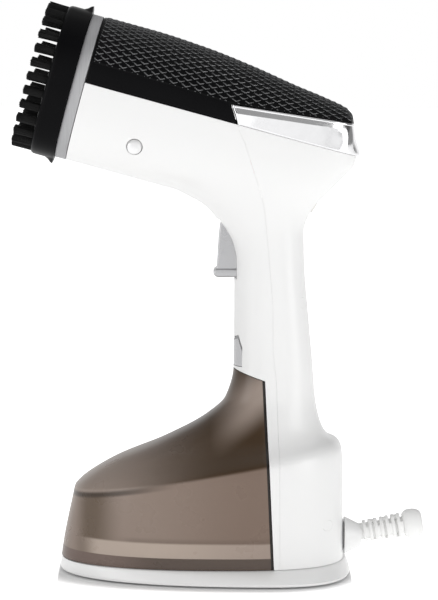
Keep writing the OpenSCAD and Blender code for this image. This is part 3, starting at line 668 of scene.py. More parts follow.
def tank_lower(p, x, z, height):
    """Tank below its crease: the side with a painted dark reflection at the front bend, the paler step of the
    floor, the dark foot, and a painted shadow under the crease.
    """
    # A dark band across the front bend: a painted reflection.
    dark_reflection_band = p.times(p.span(x, -0.072, -0.063), p.span(x, -0.042, -0.060))
    side = p.mix(p.span(x, -0.045, 0.03), (0.285, 0.220, 0.182), (0.205, 0.145, 0.112))
    side = p.mix(dark_reflection_band, side, (0.140, 0.100, 0.070))
    under = p.times(p.span(z, 0.026, 0.0236), p.span(x, -0.052, -0.035))
    side = p.mix(p.times(under, 0.35), side, (0.12, 0.085, 0.065))
    ledge = p.times(p.span(z, 0.0142, 0.0148), p.span(z, 0.0232, 0.0218))
    ledge = p.times(ledge, p.span(x, -0.070, -0.056))
    pale = p.mix(p.span(x, -0.03, 0.035), (0.47, 0.385, 0.325), (0.36, 0.285, 0.240))
    deep = p.mix(p.span(x, -0.055, -0.02), (0.175, 0.125, 0.105), (0.098, 0.072, 0.058))
    lower = p.mix(p.span(z, 0.0148, 0.0142), p.mix(ledge, side, pale), deep)
    # A dark line just under the crease: painted shadow of the shoulder above it.
    line = p.times(p.span(height, -0.0034, -0.0016), p.span(x, -0.01, -0.05))
    return p.mix(p.times(line, 0.85), lower, (0.045, 0.030, 0.020))


def smoked_plastic(name):
    """Tinted plastic of the tank, split at its crease, with painted shade and highlights, and a painted
    shadow of the gap to the body, nearly black, along the rear and the top.
    """
    p = Paint(name, (0.26, 0.2, 0.16), 0.28, IOR=1.49, Specular_IOR_Level=0.35, Alpha=0.94)
    x, _, z = p.parts(p.place)
    height = p.maths("SUBTRACT", z, p.maths("ADD", p.times(x, TANK_RISE), TANK_CREASE))
    body = p.mix(p.span(height, -0.0008, 0.0012), tank_lower(p, x, z, height), tank_upper(p, x, z))
    # Along the rear edge and the top edge: painted shadow of the gap to the body, nearly black.
    rear = p.span(p.maths("ADD", x, p.times(z, 0.0522)), 0.0370, 0.0373)
    top = p.span(z, 0.1128, 0.1132)
    p.set("Base Color", p.mix(p.maths("MAXIMUM", rear, top), body, GAP_SHADOW_BLACK))
    p.set("Roughness", p.span(p.noise(60, 4.0), 0.3, 0.7, 0.27, 0.30))
    return p.material


WHITE = white_plastic("white_plastic", 0.872)
# The base's white is a paler copy of the same plastic: painted light for its low sides, which get less light.
WHITE_BASE_PAINTED_LIGHT = white_plastic("white_base_painted_light", 0.93)
BLACK_COVER = moulded_plastic(
    "black_cover", (0.0025, 0.0025, 0.003), (0.004, 0.004, 0.0045), (0.3, 0.38), 0.06, 2600,
    Specular_IOR_Level=0.06,
)
# Lighter, shinier colour for strokes along the scales' lower edges: painted glints on the real edges.
COVER_GLINT = moulded_plastic(
    "cover_scale_glint", (0.05, 0.052, 0.055), (0.07, 0.072, 0.075), (0.2, 0.26), 0.02, 2600,
    Specular_IOR_Level=1.0,
)
BLACK_BRUSH = moulded_plastic(
    "black_brush", (0.002, 0.002, 0.0025), (0.003, 0.003, 0.0035), (0.3, 0.36), 0.05, 2000,
    Specular_IOR_Level=0.06,
)
CHROME = plain_metal("chrome", (0.94, 0.94, 0.95), 0.14, 0.03)
BAND = brushed_metal("satin_band", (0.46, 0.46, 0.47), 0.5, (2600, 40, 40), (0, HEAD_TILT, 0), 0.6)
SILVER = moulded_plastic(
    "silver_paint", (0.46, 0.46, 0.47), (0.49, 0.49, 0.50), (0.24, 0.29), 0.05, 3000, metallic=0.9,
)
STEEL = plain_metal("steel", (0.62, 0.62, 0.63), 0.3)
SCREW_SILVER = plain_metal("screw_silver", (0.92, 0.92, 0.92), 0.34)
SMOKED = smoked_plastic("smoked_plastic")
DARK_SEAL = rubber("dark_seal", (0.02, 0.017, 0.015))

# ---------- head: cover, trim, band ----------


def trim_high(p):
    """Upper edge of the trim, in q."""
    (p0, q0), (p1, q1) = TRIM_TOP, TRIM_END
    return q0 + (p - p0) * (q1 - q0) / (p1 - p0)


def panel_edge(p):
    """Lower edge of the textured panel, in q: along the smooth band, then along the trim."""
    p0, q0 = TRIM_TOP
    return np.where(p < p0, BAND_TOP - p * (BAND_TOP - q0) / p0, trim_high(p))


def scale_place(p, w):
    """Where a point lies in its scale: 0 to 1 from each of the two edges of the V at its foot."""
    return (p / SCALE_ALONG + w / SCALE_ACROSS) % 1.0, (-p / SCALE_ALONG + w / SCALE_ACROSS) % 1.0


def scale_relief(s, t):
    """Height of the small overlapping scales moulded into the cover, 0 to 1."""
    return (1 - s) * (1 - t) * smooth(s / SCALE_STEP) * smooth(t / SCALE_STEP)


def cover_section(p, count):
    """Points across the cover at p, from one panel edge over the top to the other, and their arc lengths."""
    top, low, half = head_size(p)
    edge = min(float(panel_edge(np.array(p))), top - 0.5)
    mid, tall = (top + low) / 2, (top - low) / 2
    start = math.asin(max(-1.0, min(1.0, spow((edge - mid) / tall, HEAD_N / 2))))
    a = np.linspace(start, math.pi - start, 400)
    y, q = -half * spow(np.cos(a), 2 / HEAD_N), mid + tall * spow(np.sin(a), 2 / HEAD_N)
    length = lengths(y, q)
    at = np.linspace(0, length[-1], count)
    return np.interp(at, length, y), np.interp(at, length, q), at


def normals_of(points):
    """Unit normals of a grid of points, rows x cols."""
    du = np.gradient(points, axis=0)
    dv = np.gradient(points, axis=1)
    n = np.cross(du, dv)
    return n / np.maximum(np.linalg.norm(n, axis=-1, keepdims=True), 1e-9)


def thick_sheet(name, outer, up, depth):
    """Closed sheet: a grid of outer points, a copy at depth on the side away from up, and walls."""
    n = normals_of(outer)
    n *= np.sign((n * up).sum(-1).mean())
    rows, cols = outer.shape[:2]
    size = rows * cols
    ids = np.arange(size).reshape(rows, cols)
    rim = [*ids[0], *ids[1:, -1], *ids[-1, -2::-1], *ids[-2:0:-1, 0]]
    faces = grid_faces(rows, cols) + [f[::-1] for f in grid_faces(rows, cols, first=size)]
    faces += [[a, b, b + size, a + size] for a, b in zip(rim, rim[1:] + rim[:1])]
    points = np.concatenate([outer.reshape(-1, 3), (outer - n * depth).reshape(-1, 3)])
    return outward(mesh_object(name, points, faces))


def cover_panel(name):
    """The textured part of the cover, from the band to the tail."""
    rows, cols = ((600, 380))
    ps = np.linspace(0.25, 147.6, rows)
    outer, w = np.zeros((rows, cols, 3)), np.zeros((rows, cols))
    for i, p in enumerate(ps):
        y, q, at = cover_section(p, cols)
        outer[i] = from_head(p, y, q)
        w[i] = at - at[-1] / 2
    n = normals_of(outer)
    n *= np.sign(n[rows // 2, cols // 2, 2])
    side = np.minimum(w - w[:, :1], w[:, -1:] - w)
    ends = np.minimum(ps - ps[0], ps[-1] - ps)[:, None]
    margin = np.minimum(side, ends)
    up = np.where(w < 0, w - w[:, :1], w[:, -1:] - w)
    s, t = scale_place(ps[:, None], up)
    relief = scale_relief(s, t)
    height = SCALE_HEIGHT * relief * smooth((side - 1.0) / 0.4) * smooth((ends - 1.2) / 0.6)
    height += FIELD_LIFT * smooth((side - 0.35) / 0.5) - EDGE_DROP * (1 - smooth(margin / 0.5)) - COVER_SINK
    outer = outer + n * height[..., None]
    sheet = thick_sheet(name, outer, n, WALL)
    # Faces along the scales' lower edges take the lighter material: painted glints.
    glint_strokes = ((s < GLINT_STROKE) & (t < 0.78)) | ((t < GLINT_STROKE) & (s < 0.7))
    edge = (glint_strokes & (side > 1.2) & (ends > 1.4)).ravel()
    tree = tree_of((outer * MM).reshape(-1, 3))
    hits = [tree.find(c) for c in read(sheet.data.polygons, "center", 3)]
    index = [int(edge[hit[1]] and hit[2] < 0.6 * MM) for hit in hits]
    sheet.data.materials.append(BLACK_COVER)
    sheet.data.materials.append(COVER_GLINT)
    sheet.data.polygons.foreach_set("material_index", index)
    return sheet


def cover_band(name, side):
    """The smooth band below the panel, on one side."""
    rows, cols = 90, 14
    r, s = np.linspace(0, 1, cols), np.linspace(0, 1, rows)
    q0 = COVER_Q + 0.3
    s, r = np.meshgrid(s, r, indexing="ij")
    q = q0 + r * (TRIM_TOP[1] - q0)
    p = 0.25 + s * (trim_start(q) - 0.65)
    q = q0 + r * (panel_edge(p) + 0.3 - q0)
    y = side * (head_half(p, q) - COVER_SINK)
    edge = np.minimum(np.minimum(s, 1 - s) * 84, r * (panel_edge(p) - q0))
    outer = from_head(p, y, q)
    n = normals_of(outer)
    n *= np.sign(n[rows // 2, cols // 2, 1] * side)
    outer = outer - n * (EDGE_DROP * (1 - smooth(edge / 0.6)))[..., None]
    sheet = thick_sheet(name, outer, n, WALL)
    sheet.data.materials.append(BLACK_COVER)
    return sheet


def make_cover():
    """Black cover of the head: the textured panel and a smooth band on each side."""
    bands = cover_panel("panel"), cover_band("band_near", -1), cover_band("band_far", 1)
    cover = join("top_cover_skin", *bands)
    finish_piece(cover, "body", "black_cover", None, "top_cover", angle=50)


def trim_crease(p):
    """Height of the crease along the trim's side, in q."""
    return CREASE_FOOT[1] + (p - CREASE_FOOT[0]) * CREASE_RISE


def trim_start(q):
    """Slanted front edge of the trim, as p at height q."""
    (p0, q0), (p1, q1) = TRIM_FOOT, TRIM_TOP
    return p0 + (q - q0) * (p1 - p0) / (q1 - q0)


def trim_row(u):
    """One lengthwise line of the trim, front edge to tail, as p, q and distance from the upper edge.

    u runs from the lower edge to a crease at 0.5, to the bead at 0.8, to the upper edge at 1.
    """
    def height(p):
        high = trim_high(p)
        stops = [COVER_Q + 0.12 + 0 * p, trim_crease(p), high - BEAD, high - 0.05]
        return np.array([np.interp(u, [0, 0.5, 0.8, 1], column) for column in np.stack(stops, -1)])

    near = 80.0
    for step in range(5):
        near = float(trim_start(height(np.array([near]))[0])) + 0.15
    low, high = 130.0, HEAD_RINGS[-1][0]
    for step in range(40):
        p = (low + high) / 2
        if head_size(p)[0] > height(np.array([p]))[0]:
            low = p
        else:
            high = p
    share = np.linspace(0, 1, 260)
    p = near + (low - near) * (1 - (1 - share) ** 3)
    q = height(p)
    return p, q, trim_high(p) - q


def trim_lean(p, q):
    """How far the trim stands out past the head: a plumb face, then a slope up to the bead."""
    crease, bead = trim_crease(p), trim_high(p) - BEAD
    foot, top = head_half(p, COVER_Q + 0 * p), head_half(p, bead) + 0.5
    corner = top + 0.36 * (bead - crease)
    face = foot + (corner - foot) * np.clip((q - COVER_Q) / (crease - COVER_Q), 0, 1)
    y = np.where(q < crease, face, top + 0.36 * np.maximum(bead - q, 0))
    out = np.where(q > bead, 0.5, y - head_half(p, q))
    along = 1 - smooth((p - 134) / 11)
    return along * out + (1 - along) * 0.15


def make_trim():
    """Bright trim: along both sides and round the tail, with a plumb face, a slope and a raised bead."""
    us = np.concatenate([
        np.linspace(*part)
        for part in ((0, 0.06, 4), (0.1, 0.49, 10), (0.5, 0.79, 9), (0.8, 1, 12))
    ])
    half_cols = 190
    outer = np.zeros((len(us), 2 * half_cols + 1, 3))
    out = np.zeros(outer.shape[:2])
    for i, u in enumerate(us):
        p, q, below = trim_row(u)
        y = head_half(p, q)
        y[-1] = min(y[-1], y[-2])
        p, q, y, below = [np.append(v, v[-1]) for v in (p, q, y, below)]
        y[-1] = 0.0
        length = lengths(p, y)
        at = np.concatenate([np.linspace(0, 2, 15)[:-1], np.linspace(2, length[-1], half_cols - 13)])
        p, q, y, below = [np.interp(at, length, v) for v in (p, q, y, below)]
        rim = np.minimum(below, at * 0.84)
        lean = trim_lean(p, q)
        bead = np.sqrt(np.clip(1 - ((rim - BEAD / 2) / (BEAD / 2)) ** 2, 0, 1))
        amount = np.where(rim < BEAD / 2, (lean + 0.75) * bead - 0.3, lean + 0.45 * bead)
        amount -= 0.4 * (1 - smooth((q - COVER_Q - 0.12) / 0.5))
        outer[i, : half_cols + 1] = from_head(p, -y, q)
        outer[i, half_cols:] = from_head(p, y, q)[::-1]
        out[i, : half_cols + 1] = amount
        out[i, half_cols:] = amount[::-1]
    n = normals_of(outer)
    n *= np.sign(n[10, 60, 1] * outer[10, 60, 1])
    outer = outer + n * out[..., None]
    trim = thick_sheet("rear_trim_skin", outer, n, 1.6)
    finish_piece(trim, "body", "chrome_trim", CHROME, "rear_trim", angle=50)


def make_band():
    """Satin ring between the brush and the head, with soft edges."""
    t, d = BAND_T, 5.6
    steps = [(0, d), (0, 0.5), (-0.15, 0.15), (-0.5, 0), (0.5 - t, 0), (0.15 - t, 0.15), (-t, 0.5), (-t, d)]
    band = ring_sweep("head_band_ring", [(p - 0.05, HEAD_H - e, HEAD_W - e) for p, e in steps])
    finish_piece(band, "body", "satin_metal", BAND, "head_band")


# ---------- white shells ----------


def smooth_union(name, voxel=1.1, spread=9.0, passes=70):
    """Head and body skins as one closed skin with a soft fillet where they meet."""
    head, body = head_skin("head_skin"), body_skin("body_skin")
    trees = [tree_of([v.co for v in part.data.vertices]) for part in (head, body)]
    both = join(name, head, body)
    m = both.modifiers.new("remesh", "REMESH")
    m.mode = "VOXEL"
    m.voxel_size = voxel * MM
    take_mesh(both)
    mesh = both.data
    co = read(mesh.vertices, "co", 3)
    away = [max(tree.find(v)[2] for tree in trees) for v in co]
    weight = smooth(1 - np.array(away) / (spread * MM))
    a, b = read(mesh.edges, "vertices", 2, int).T
    ends = np.concatenate([a, b])
    count = np.bincount(ends, minlength=len(co))[:, None]

    def relax(points, amount):
        near = np.concatenate([points[b], points[a]]).T
        total = np.stack([np.bincount(ends, values, len(co)) for values in near], -1)
        return points + amount * (total / count - points)

    for i in range(4):
        co = relax(relax(co, 0.5), -0.52)
    for i in range(passes):
        co = relax(co, 0.6 * weight[:, None])
    mesh.vertices.foreach_set("co", co.ravel())
    mesh.update()
    n = read(mesh.vertex_normals, "vector", 3)
    for i in range(3):
        n = relax(n, 0.5)
        n /= np.linalg.norm(n, axis=1, keepdims=True)
    return both, co, n


def skin_normals(obj, co, n):
    """Gives the outer faces of a cut shell the smooth normals that the whole skin had."""
    tree = tree_of(co)
    mesh = obj.data
    v = read(mesh.vertices, "co", 3)
    found = [tree.find_n(point, 4) for point in v]
    near = np.array([[hit[1] for hit in hits] for hits in found])
    away = np.array([[hit[2] for hit in hits] for hits in found])
    weight = 1 / (away + 0.05 * MM) ** 2
    smooth_n = (n[near] * weight[..., None]).sum(1)
    smooth_n /= np.linalg.norm(smooth_n, axis=1, keepdims=True)
    off = np.abs(((v - co[near[:, 0]]) * smooth_n).sum(-1))
    on_skin = (off < 0.12 * MM) & (away[:, 0] < 1.0 * MM)
    corner_vertex = read(mesh.loops, "vertex_index", kind=int)
    sizes = read(mesh.polygons, "loop_total", kind=int)
    face = np.repeat(np.arange(len(sizes)), sizes)
    face_n = read(mesh.polygons, "normal", 3)
    corner_n = read(mesh.corner_normals, "vector", 3)
    fits = on_skin[corner_vertex] & ((face_n[face] * smooth_n[corner_vertex]).sum(-1) > 0.9)
    whole = np.ones(len(sizes), bool)
    np.logical_and.at(whole, face, fits)
    take = whole[face]
    corner_n[take] = smooth_n[corner_vertex][take]
    mesh.normals_split_custom_set(corner_n.tolist())


def cross_rod(name, x0, x1, z, radius):
    """Rod along X in the middle plane."""
    return rod(name, (x0, 0, z), (x1, 0, z), radius)


def button_prism(name, x0, x1, extra, drop=0.0):
    """Outline of the release button in y and z, extruded along X."""
    half, low, high = BUTTON_HALF + extra, BUTTON_Z[0] - extra, BUTTON_Z[1] + extra - drop
    outline = [
        (-half, low), (half, low), (half, high - 6.6), (half - 2.6, high),
        (0, high - 2.2), (2.6 - half, high), (-half, high - 6.6),
    ]
    return extrude(name, [[(x, y, z) for y, z in outline] for x in (x0, x1)])


def screw_rods(radius):
    """Four rods along the screws that join the rear shell to the front one."""
    places = [(52, y, 150) for y in (-10.5, 10.5)] + [(65, y, 30) for y in (-28, 28)]
    return join("screw_rods", *[rod("rod", (x, y, z), (95, y, z), radius) for x, y, z in places])


def make_shells():
    """White shells, cut from one skin, with the plugs over the rear screws."""
    skin, skin_co, skin_n = smooth_union("skin")
    plugs = copy(skin, "screw_plug_covers")
    below_cover = [(0.25, -120), (0.25, 90), (400, 90), (400, -400), (-60, -400), (-60, -120)]
    cut(skin, "DIFFERENCE", cover_zone("lid"))
    cut(skin, "INTERSECT", head_prism("nose", below_cover))
    cut(skin, "INTERSECT", block("above_tray", (-200, -90, RIM_H + 0.25), (200, 90, 400)))
    rear = copy(skin, "rear_shell_skin")
    partition = copy(skin, "partition")
    inner = [head_skin("head_inner", WALL, 72, 3), body_skin("body_inner", WALL, 0, 15.4, 3, 72)]
    for shell in (skin, rear):
        cut(shell, "DIFFERENCE", *[copy(o, "inner") for o in inner])
    cut(rear, "DIFFERENCE", front_zone("front"))
    cut(rear, "DIFFERENCE", cross_rod("swivel_hole", 70, 90, SWIVEL_Z, 9.25))
    cut(rear, "DIFFERENCE", screw_rods(3.0))
    cut(plugs, "INTERSECT", screw_rods(2.9))
    lens = np.array([math.sin(LENS_TILT), 0, math.cos(LENS_TILT)])
    cut(rear, "DIFFERENCE", rod("lens_hole", LENS_AT - 6 * lens, LENS_AT + 6 * lens, 3.05))
    cut(skin, "INTERSECT", front_zone("front", -0.06))
    cut(skin, "DIFFERENCE", bay_zone("bay"))
    cut(partition, "INTERSECT", bay_partition("wall"))
    cut(skin, "UNION", partition)
    half = TRIGGER_W / 2 + 0.5
    cut(skin, "DIFFERENCE", block("trigger_slot", (-10, -half, 162.3), (23, half, 195.2)))
    cut(skin, "DIFFERENCE", button_prism("button_hole", 5, 26, 0.35))
    cut(skin, "DIFFERENCE", block("latch_slot", (LATCH_X - 0.7, -4.6, 100), (LATCH_X + 6.4, 4.6, 118)))
    cut(skin, "DIFFERENCE", cross_rod("valve_hole", 30, 50, VALVE_Z, 7.0))
    for side in (-1, 1):
        ends = [from_head(PLUG_AT[0], side * y, PLUG_AT[1]) for y in (22, 60)]
        cut(skin, "DIFFERENCE", rod("plug_hole", *ends, PLUG_R))
    for o in inner:
        bpy.data.objects.remove(o)
    skin.name = "front_shell_skin"
    for shell, node in ((skin, "front_shell"), (rear, "rear_shell"), (plugs, "screw_plugs")):
        finish_piece(shell, "body", "white_plastic", WHITE, node)
        skin_normals(shell, skin_co, skin_n)


def make_side_screws():
    """Domed heads that nearly fill the wells in the sides of the head."""
    p, q = PLUG_AT
    face = float(head_half(np.array(p), q)) - 0.35
    profile = [
        (-6, 0.01), (-6, 1.6), (-1.9, 1.6), (-1.9, 4.1), (-1.0, 4.2), (-0.5, 3.9), (-0.15, 2.8),
        (0, 1.4), (0.02, 0.01),
    ]
    heads = []
    for side in (-1, 1):
        def place(v, side=side):
            return from_head(p + v[:, 1], side * (face + v[:, 0]), q + v[:, 2])
        heads.append(lathe("head", profile, 64, place))
    screws = join("side_screw_heads", *heads)
    finish_piece(screws, "body", "steel", SCREW_SILVER, "side_screws", angle=45)


# ---------- tank ----------


def make_tank():
    """Tank: the front of the body's skin, hollow, with the filler's neck and the cap's lugs."""
    x, z = FILLER
    foot, corner = BAY_FOOT[0] - GAP, BAY_CORNER[0] - GAP
    outer = body_skin("tank_shell_skin", 0, 0, 11, 14, 160)
    zone = prism("zone", [
        (foot, 0), (corner, BAY_CORNER[1] - GAP), (BAY_FRONT[0], BAY_FRONT[1] - GAP),
        (-200, BAY_FRONT[1] - GAP), (-200, 0),
    ], 90)
    cut(outer, "INTERSECT", zone, block("above", (-200, -90, RIM_H + 0.35), (200, 90, 300)))
    bevel(outer, 0.5, 2, 50)
    inner = body_skin("inner", WALL, 0, 9, 8, 120)
    room = prism("room", [
        (foot - WALL, -10), (corner - WALL, 104.4), (-200, 104.4), (-200, -10),
    ], 90)
    cut(inner, "INTERSECT", room)
    cut(outer, "DIFFERENCE", inner)
    cut(outer, "DIFFERENCE", block("groove", (LATCH_X - 1, -4.7, 106.6), (60, 4.7, 130)))
    cut(outer, "DIFFERENCE", cross_rod("valve_hole", 30, 50, VALVE_Z, 6))
    cut(outer, "UNION", rod("boss", (x, 41, z), (x, 45.3, z), FILLER_R + 3))
    for lug in (-15.3, -3.7):
        cut(outer, "UNION", block("lug", (lug, 42.4, 41.6), (lug + 3, 48.8, 45.4)))
    cut(outer, "DIFFERENCE", rod("filler_hole", (x, 30, z), (x, 60, z), FILLER_R))
    finish_piece(outer, "tank", "smoked_plastic", SMOKED, "tank_shell")


# ---------- base ----------


def base_ring(inset, z, count=220):
    """Lower edge of the base seen from above, at height z."""
    t = turns(count)
    c, across = np.cos(t), np.sin(t)
    front = c < 0
    e = 2 / np.where(front, *BASE_FULL)
    x = BASE_WIDE_X + (np.where(front, *BASE_REACH) - inset) * spow(c, e)
    return flat_ring(np.stack([x, (BASE_HALF - inset) * spow(across, e)], -1), z)


def make_base():
    """Tray of the base: a flared skirt with a soft lower edge, hollow below."""
    top = flat_ring(oval(220, 78.4, BODY_HALF + 0.6) + (0.2, 0), RIM_H)
    widest = 2.6
    edge = ((2.0, 1.0), (0.9, 1.05), (0.35, 1.3), (0.05, 1.9), (0, widest))
    rings = [base_ring(inset, z) for inset, z in edge]
    for f in (0.12, 0.4, 0.7, 0.93, 1.0):
        ring = rings[4] * (1 - f) + top * f
        ring[:, 2] = widest + (RIM_H - widest) * (f + 0.1 * math.sin(f * math.pi))
        rings.append(ring)
    rings[-2][:, 2] = RIM_H - 0.12
    tray = tube_mesh("base_tray_skin", rings)
    hollow = [flat_ring(oval(160, 74, BODY_HALF), z) for z in (-1, 5.2)]
    cut(tray, "DIFFERENCE", tube_mesh("hollow", hollow))
    finish_piece(tray, "body", "white_plastic", WHITE_BASE_PAINTED_LIGHT, "base_tray")


# ---------- controls ----------


def make_trigger():
    """Trigger: a curved front, a thick rolled lip at the foot and rounded edges."""
    front = [
        (9.6, 193.8), (8.5, 193.3), (8.0, 192.2), (7.5, 188), (7.2, 184), (6.9, 179), (6.6, 173), (6.2, 168),
    ]
    back = [(6.2, 165), (20.6, 165), (21.1, 169), (21.1, 188.5), (20, 192), (17.5, 193.8)]
    lever = prism("trigger_lever", front + back, TRIGGER_W / 2 - 0.55)
    bevel(lever, 0.8, 4, 40)
    middle, r = 165.85, 2.5
    turn = np.radians(np.linspace(90, 270, 13))
    lip = [(4.45 + r + r * math.cos(t), middle + r * math.sin(t)) for t in turn]
    lip += [(x, middle + h) for x, h in ((19.8, -r), (20.9, -1.4), (21.1, 0), (20.9, 1.4), (19.8, r))]
    roll = prism("lip", lip, TRIGGER_W / 2 - 0.03)
    bevel(roll, 1.1, 4, 40)
    cut(lever, "UNION", roll)
    cut(lever, "DIFFERENCE", rod("bore", (PIVOT[0], -20, PIVOT[1]), (PIVOT[0], 20, PIVOT[1]), 1.55))
    cut(lever, "DIFFERENCE", cross_rod("seat", 13, 24, 168.6, 3))
    finish_piece(lever, "trigger", "silver_plastic", SILVER, "trigger")


def make_button():
    """Release button: follows the grip's front, with a stem, a flange and a latch nib behind."""
    face = body_skin("release_button_skin", 0.05, 8, 11, 8, 96)
    cut(face, "INTERSECT", button_prism("outline", 10, 22, 0, BUTTON_DROP))
    bevel(face, 0.45, 3, 30)
    cut(face, "UNION", block("stem", (20, -5, 117), (24.2, 5, 129)))
    cut(face, "UNION", block("flange", (24, -11, 116.6), (25.5, 11, 135)))
    cut(face, "UNION", block("nib", (LATCH_X, -4, 107.8), (LATCH_X + 2.5, 4, 118)))
    finish_piece(face, "button", "silver_plastic", SILVER, "release_button")


# ---------- brush ----------


def make_brush_frame():
    """Oval frame with a soft front edge and two pointed grips at its back edge."""
    back, front = BRUSH_BACK, BRUSH_FRONT
    steps = [
        (back, 0), (back - 0.4, -0.05), (back - 1.6, 0), (back - 3.2, 0), (back - 5, 0), (front + 3, 0),
        (front + 1.6, 0.1), (front + 0.7, 0.5), (front + 0.15, 1.2), (front, 2.2), (front, 6), (front, 12.4),
        (front + 0.4, 13), (front + 3.5, 13), (front + 3.5, 7.0), (back, 7.0),
    ]
    count = 240
    o = oval(count, 1, 1)
    rows = []
    for p, inset in steps:
        q, y = o[:, 0] * (HEAD_H + BRUSH_LIP - inset), o[:, 1] * (HEAD_W + BRUSH_LIP - inset)
        if inset <= 0:
            rise = smooth((p - (back - 4.9)) / 4.4) if p < back else 0.45
            grip = 2.75 * rise * smooth((8.5 - np.abs(y)) / 6.5)
            q = q + np.sign(q) * grip
        rows.append(from_head(p, y, q))
    points = np.array(rows).reshape(-1, 3)
    body = outward(mesh_object("brush_frame_body", points, grid_faces(len(steps), count, True, True)))
    finish_piece(body, "brush", "brush_plastic", BLACK_BRUSH, "brush_frame", angle=40)


def tuft_places():
    """Tufts in y and q: seven along each side, seven round each end."""
    wide, tall = HEAD_W - 5.5, HEAD_H - 2

    def rim(f):
        return (1 - abs(f) ** HEAD_N) ** (1 / HEAD_N)

    heights = [i * TUFT_PITCH for i in range(-3, 4)]
    shares = (-0.706, -0.498, -0.26, 0, 0.26, 0.498, 0.706)
    sides = [(s * wide * rim(h / tall), h) for s in (-1, 1) for h in heights]
    return sides + [(wide * f, s * tall * rim(f)) for s in (-1, 1) for f in shares]


def make_tufts():
    """Bundles of single bristles, slightly splayed, with uneven rounded tips."""
    rng = np.random.default_rng(7)
    sides, thick = 6, 0.27
    turn = turns(sides)
    steps = np.array([0, 0.3, 0.65, 0.93, 0.985, 1.0])
    girth = np.array([1, 1, 1, 1, 0.75, 0.25])
    points, faces = [], []
    for y0, q0 in tuft_places():
        spots = [(0.0, 0.0)]
        for ring in range(1, 5):
            spots += [
                (ring * 0.53 * math.cos(a), ring * 0.53 * math.sin(a))
                for a in turns(6 * ring) + 0.3 * ring
            ]
        lean = rng.normal(0, 0.012, 2)
        for dy, dq in spots:
            reach = math.hypot(dy, dq) / 2.12
            long = (BRUSH_FRONT - TUFT_TIP) * (1 - 0.05 * reach**2 - 0.035 * rng.random())
            splay = np.array([dy, dq]) * 0.10 + lean * long + rng.normal(0, 0.09, 2)
            first = len(points)
            for f, g in zip(steps, girth):
                at = np.array([dy, dq]) + splay * f**1.5
                for a in turn:
                    points.append(from_head(
                        BRUSH_FRONT + 0.4 - (long + 0.4) * f,
                        y0 + at[0] + thick * g * math.cos(a),
                        q0 + at[1] + thick * g * math.sin(a),
                    ))
            faces += grid_faces(len(steps), sides, round_cols=True, first=first)
            faces.append([first + (len(steps) - 1) * sides + k for k in range(sides)])
            faces.append([first + k for k in range(sides)][::-1])
    tufts = outward(mesh_object("bristles", points, faces), weld=False)
    p = Paint("bristle", (0.004, 0.004, 0.004), 0.4, Specular_IOR_Level=0.2)
    p.varied((0.003, 0.003, 0.003), (0.007, 0.007, 0.007), 700, (0.34, 0.5))
    finish_piece(tufts, "brush", "bristle", p.material, "bristle_tufts", angle=60)


# ---------- cord exit ----------


def in_swivel(points):
    """Points round the swivel's axis in the row frame."""
    return points + (0, 0, SWIVEL_Z)


def in_relief(points):
    """Points round the sloping axis of the strain relief in the row frame."""
    c, s = math.cos(RELIEF_TILT), math.sin(RELIEF_TILT)
    x, z = points[:, 0], points[:, 2]
    return np.stack([RELIEF_X + x * c - z * s, points[:, 1], SWIVEL_Z + x * s + z * c], -1)


def relief_rib(a, b, r):
    """One rib of the strain relief from a to b, with rounded edges."""
    rise = [(0, 4.2), (0, r - 0.45), (0.12, r - 0.15), (0.45, r)]
    profile = [(a + d, radius) for d, radius in rise] + [(b - d, radius) for d, radius in rise[::-1]]
    return lathe("rib", profile, 72, in_relief)


def relief_bridge(a, b, r, angle):
    """Bridge between two ribs, at one place round them."""
    t = np.linspace(angle - 0.5, angle + 0.5, 9)
    outline = [(r - 0.35, k) for k in t] + [(4.2, k) for k in t[::-1]]
    arc = [(radius * math.cos(k), radius * math.sin(k)) for radius, k in outline]
    return tube_mesh("bridge", [in_relief(np.array([(x, *point) for point in arc])) for x in (a, b)])


def make_cord_exit():
    """Swivel cone and its journal, and the ribbed strain relief with a bulb at its end."""
    foot = 78.0
    steps = [
        (0, 0.01), (0, 10.2), (0.2, 10.4), (1, 10.15), (3, 9.15), (5, 8.15), (7.5, 6.95), (9.5, 5.95),
        (9.75, 5.6), (9.8, 5.2), (9.8, 3.4), (4, 3.4), (4, 0.01),
    ]
    cone = lathe("swivel_cone", [(foot + a, r) for a, r in steps], 96, in_swivel)
    journal = lathe("journal", [(68.5, 5), (68.5, 7), (78.2, 7), (78.2, 5)], 64, in_swivel)
    housing = join("swivel_housing_skin", cone, journal)
    finish_piece(housing, "swivel", "white_plastic", WHITE, "swivel_housing")
    pieces = [lathe("core", [(5, CORD_R), (5, 4.6), (38, 4.6), (38, CORD_R)], 64, in_relief)]
    ribs, start, stop = 7, 14.0, 36.4
    pitch = (stop - start) / ribs
    for i in range(ribs):
        a, r = start + i * pitch, 6 + 0.16 * i
        b = a + 0.6 * pitch
        pieces.append(relief_rib(a, b, r))
        for side in (0, math.pi):
            turn = side + (math.pi / 2) * (i % 2)
            pieces.append(relief_bridge(b - 0.1, min(a + pitch + 0.1, stop + 0.2), r, turn))
    bulb = [
        (36.4, CORD_R), (36.4, 6.0), (36.9, 6.8), (37.8, 7.6), (39.2, 8.15), (41, 8.2), (42.6, 8.15),
        (44.2, 7.8), (45.6, 7.1), (46.6, 6.2), (47.1, 5.2), (47.2, CORD_R),
    ]
    pieces.append(lathe("bulb", bulb, 96, in_relief))
    relief = join("strain_relief_sleeve", *pieces)
    soft = moulded_plastic(
        "white_rubber", (0.87, 0.87, 0.86), (0.90, 0.90, 0.89), (0.42, 0.5), 0.08, 1800,
        Specular_IOR_Level=0.4,
    )
    finish_piece(relief, "swivel", "white_rubber", soft, "strain_relief")


# ---------- camera, light and floor ----------

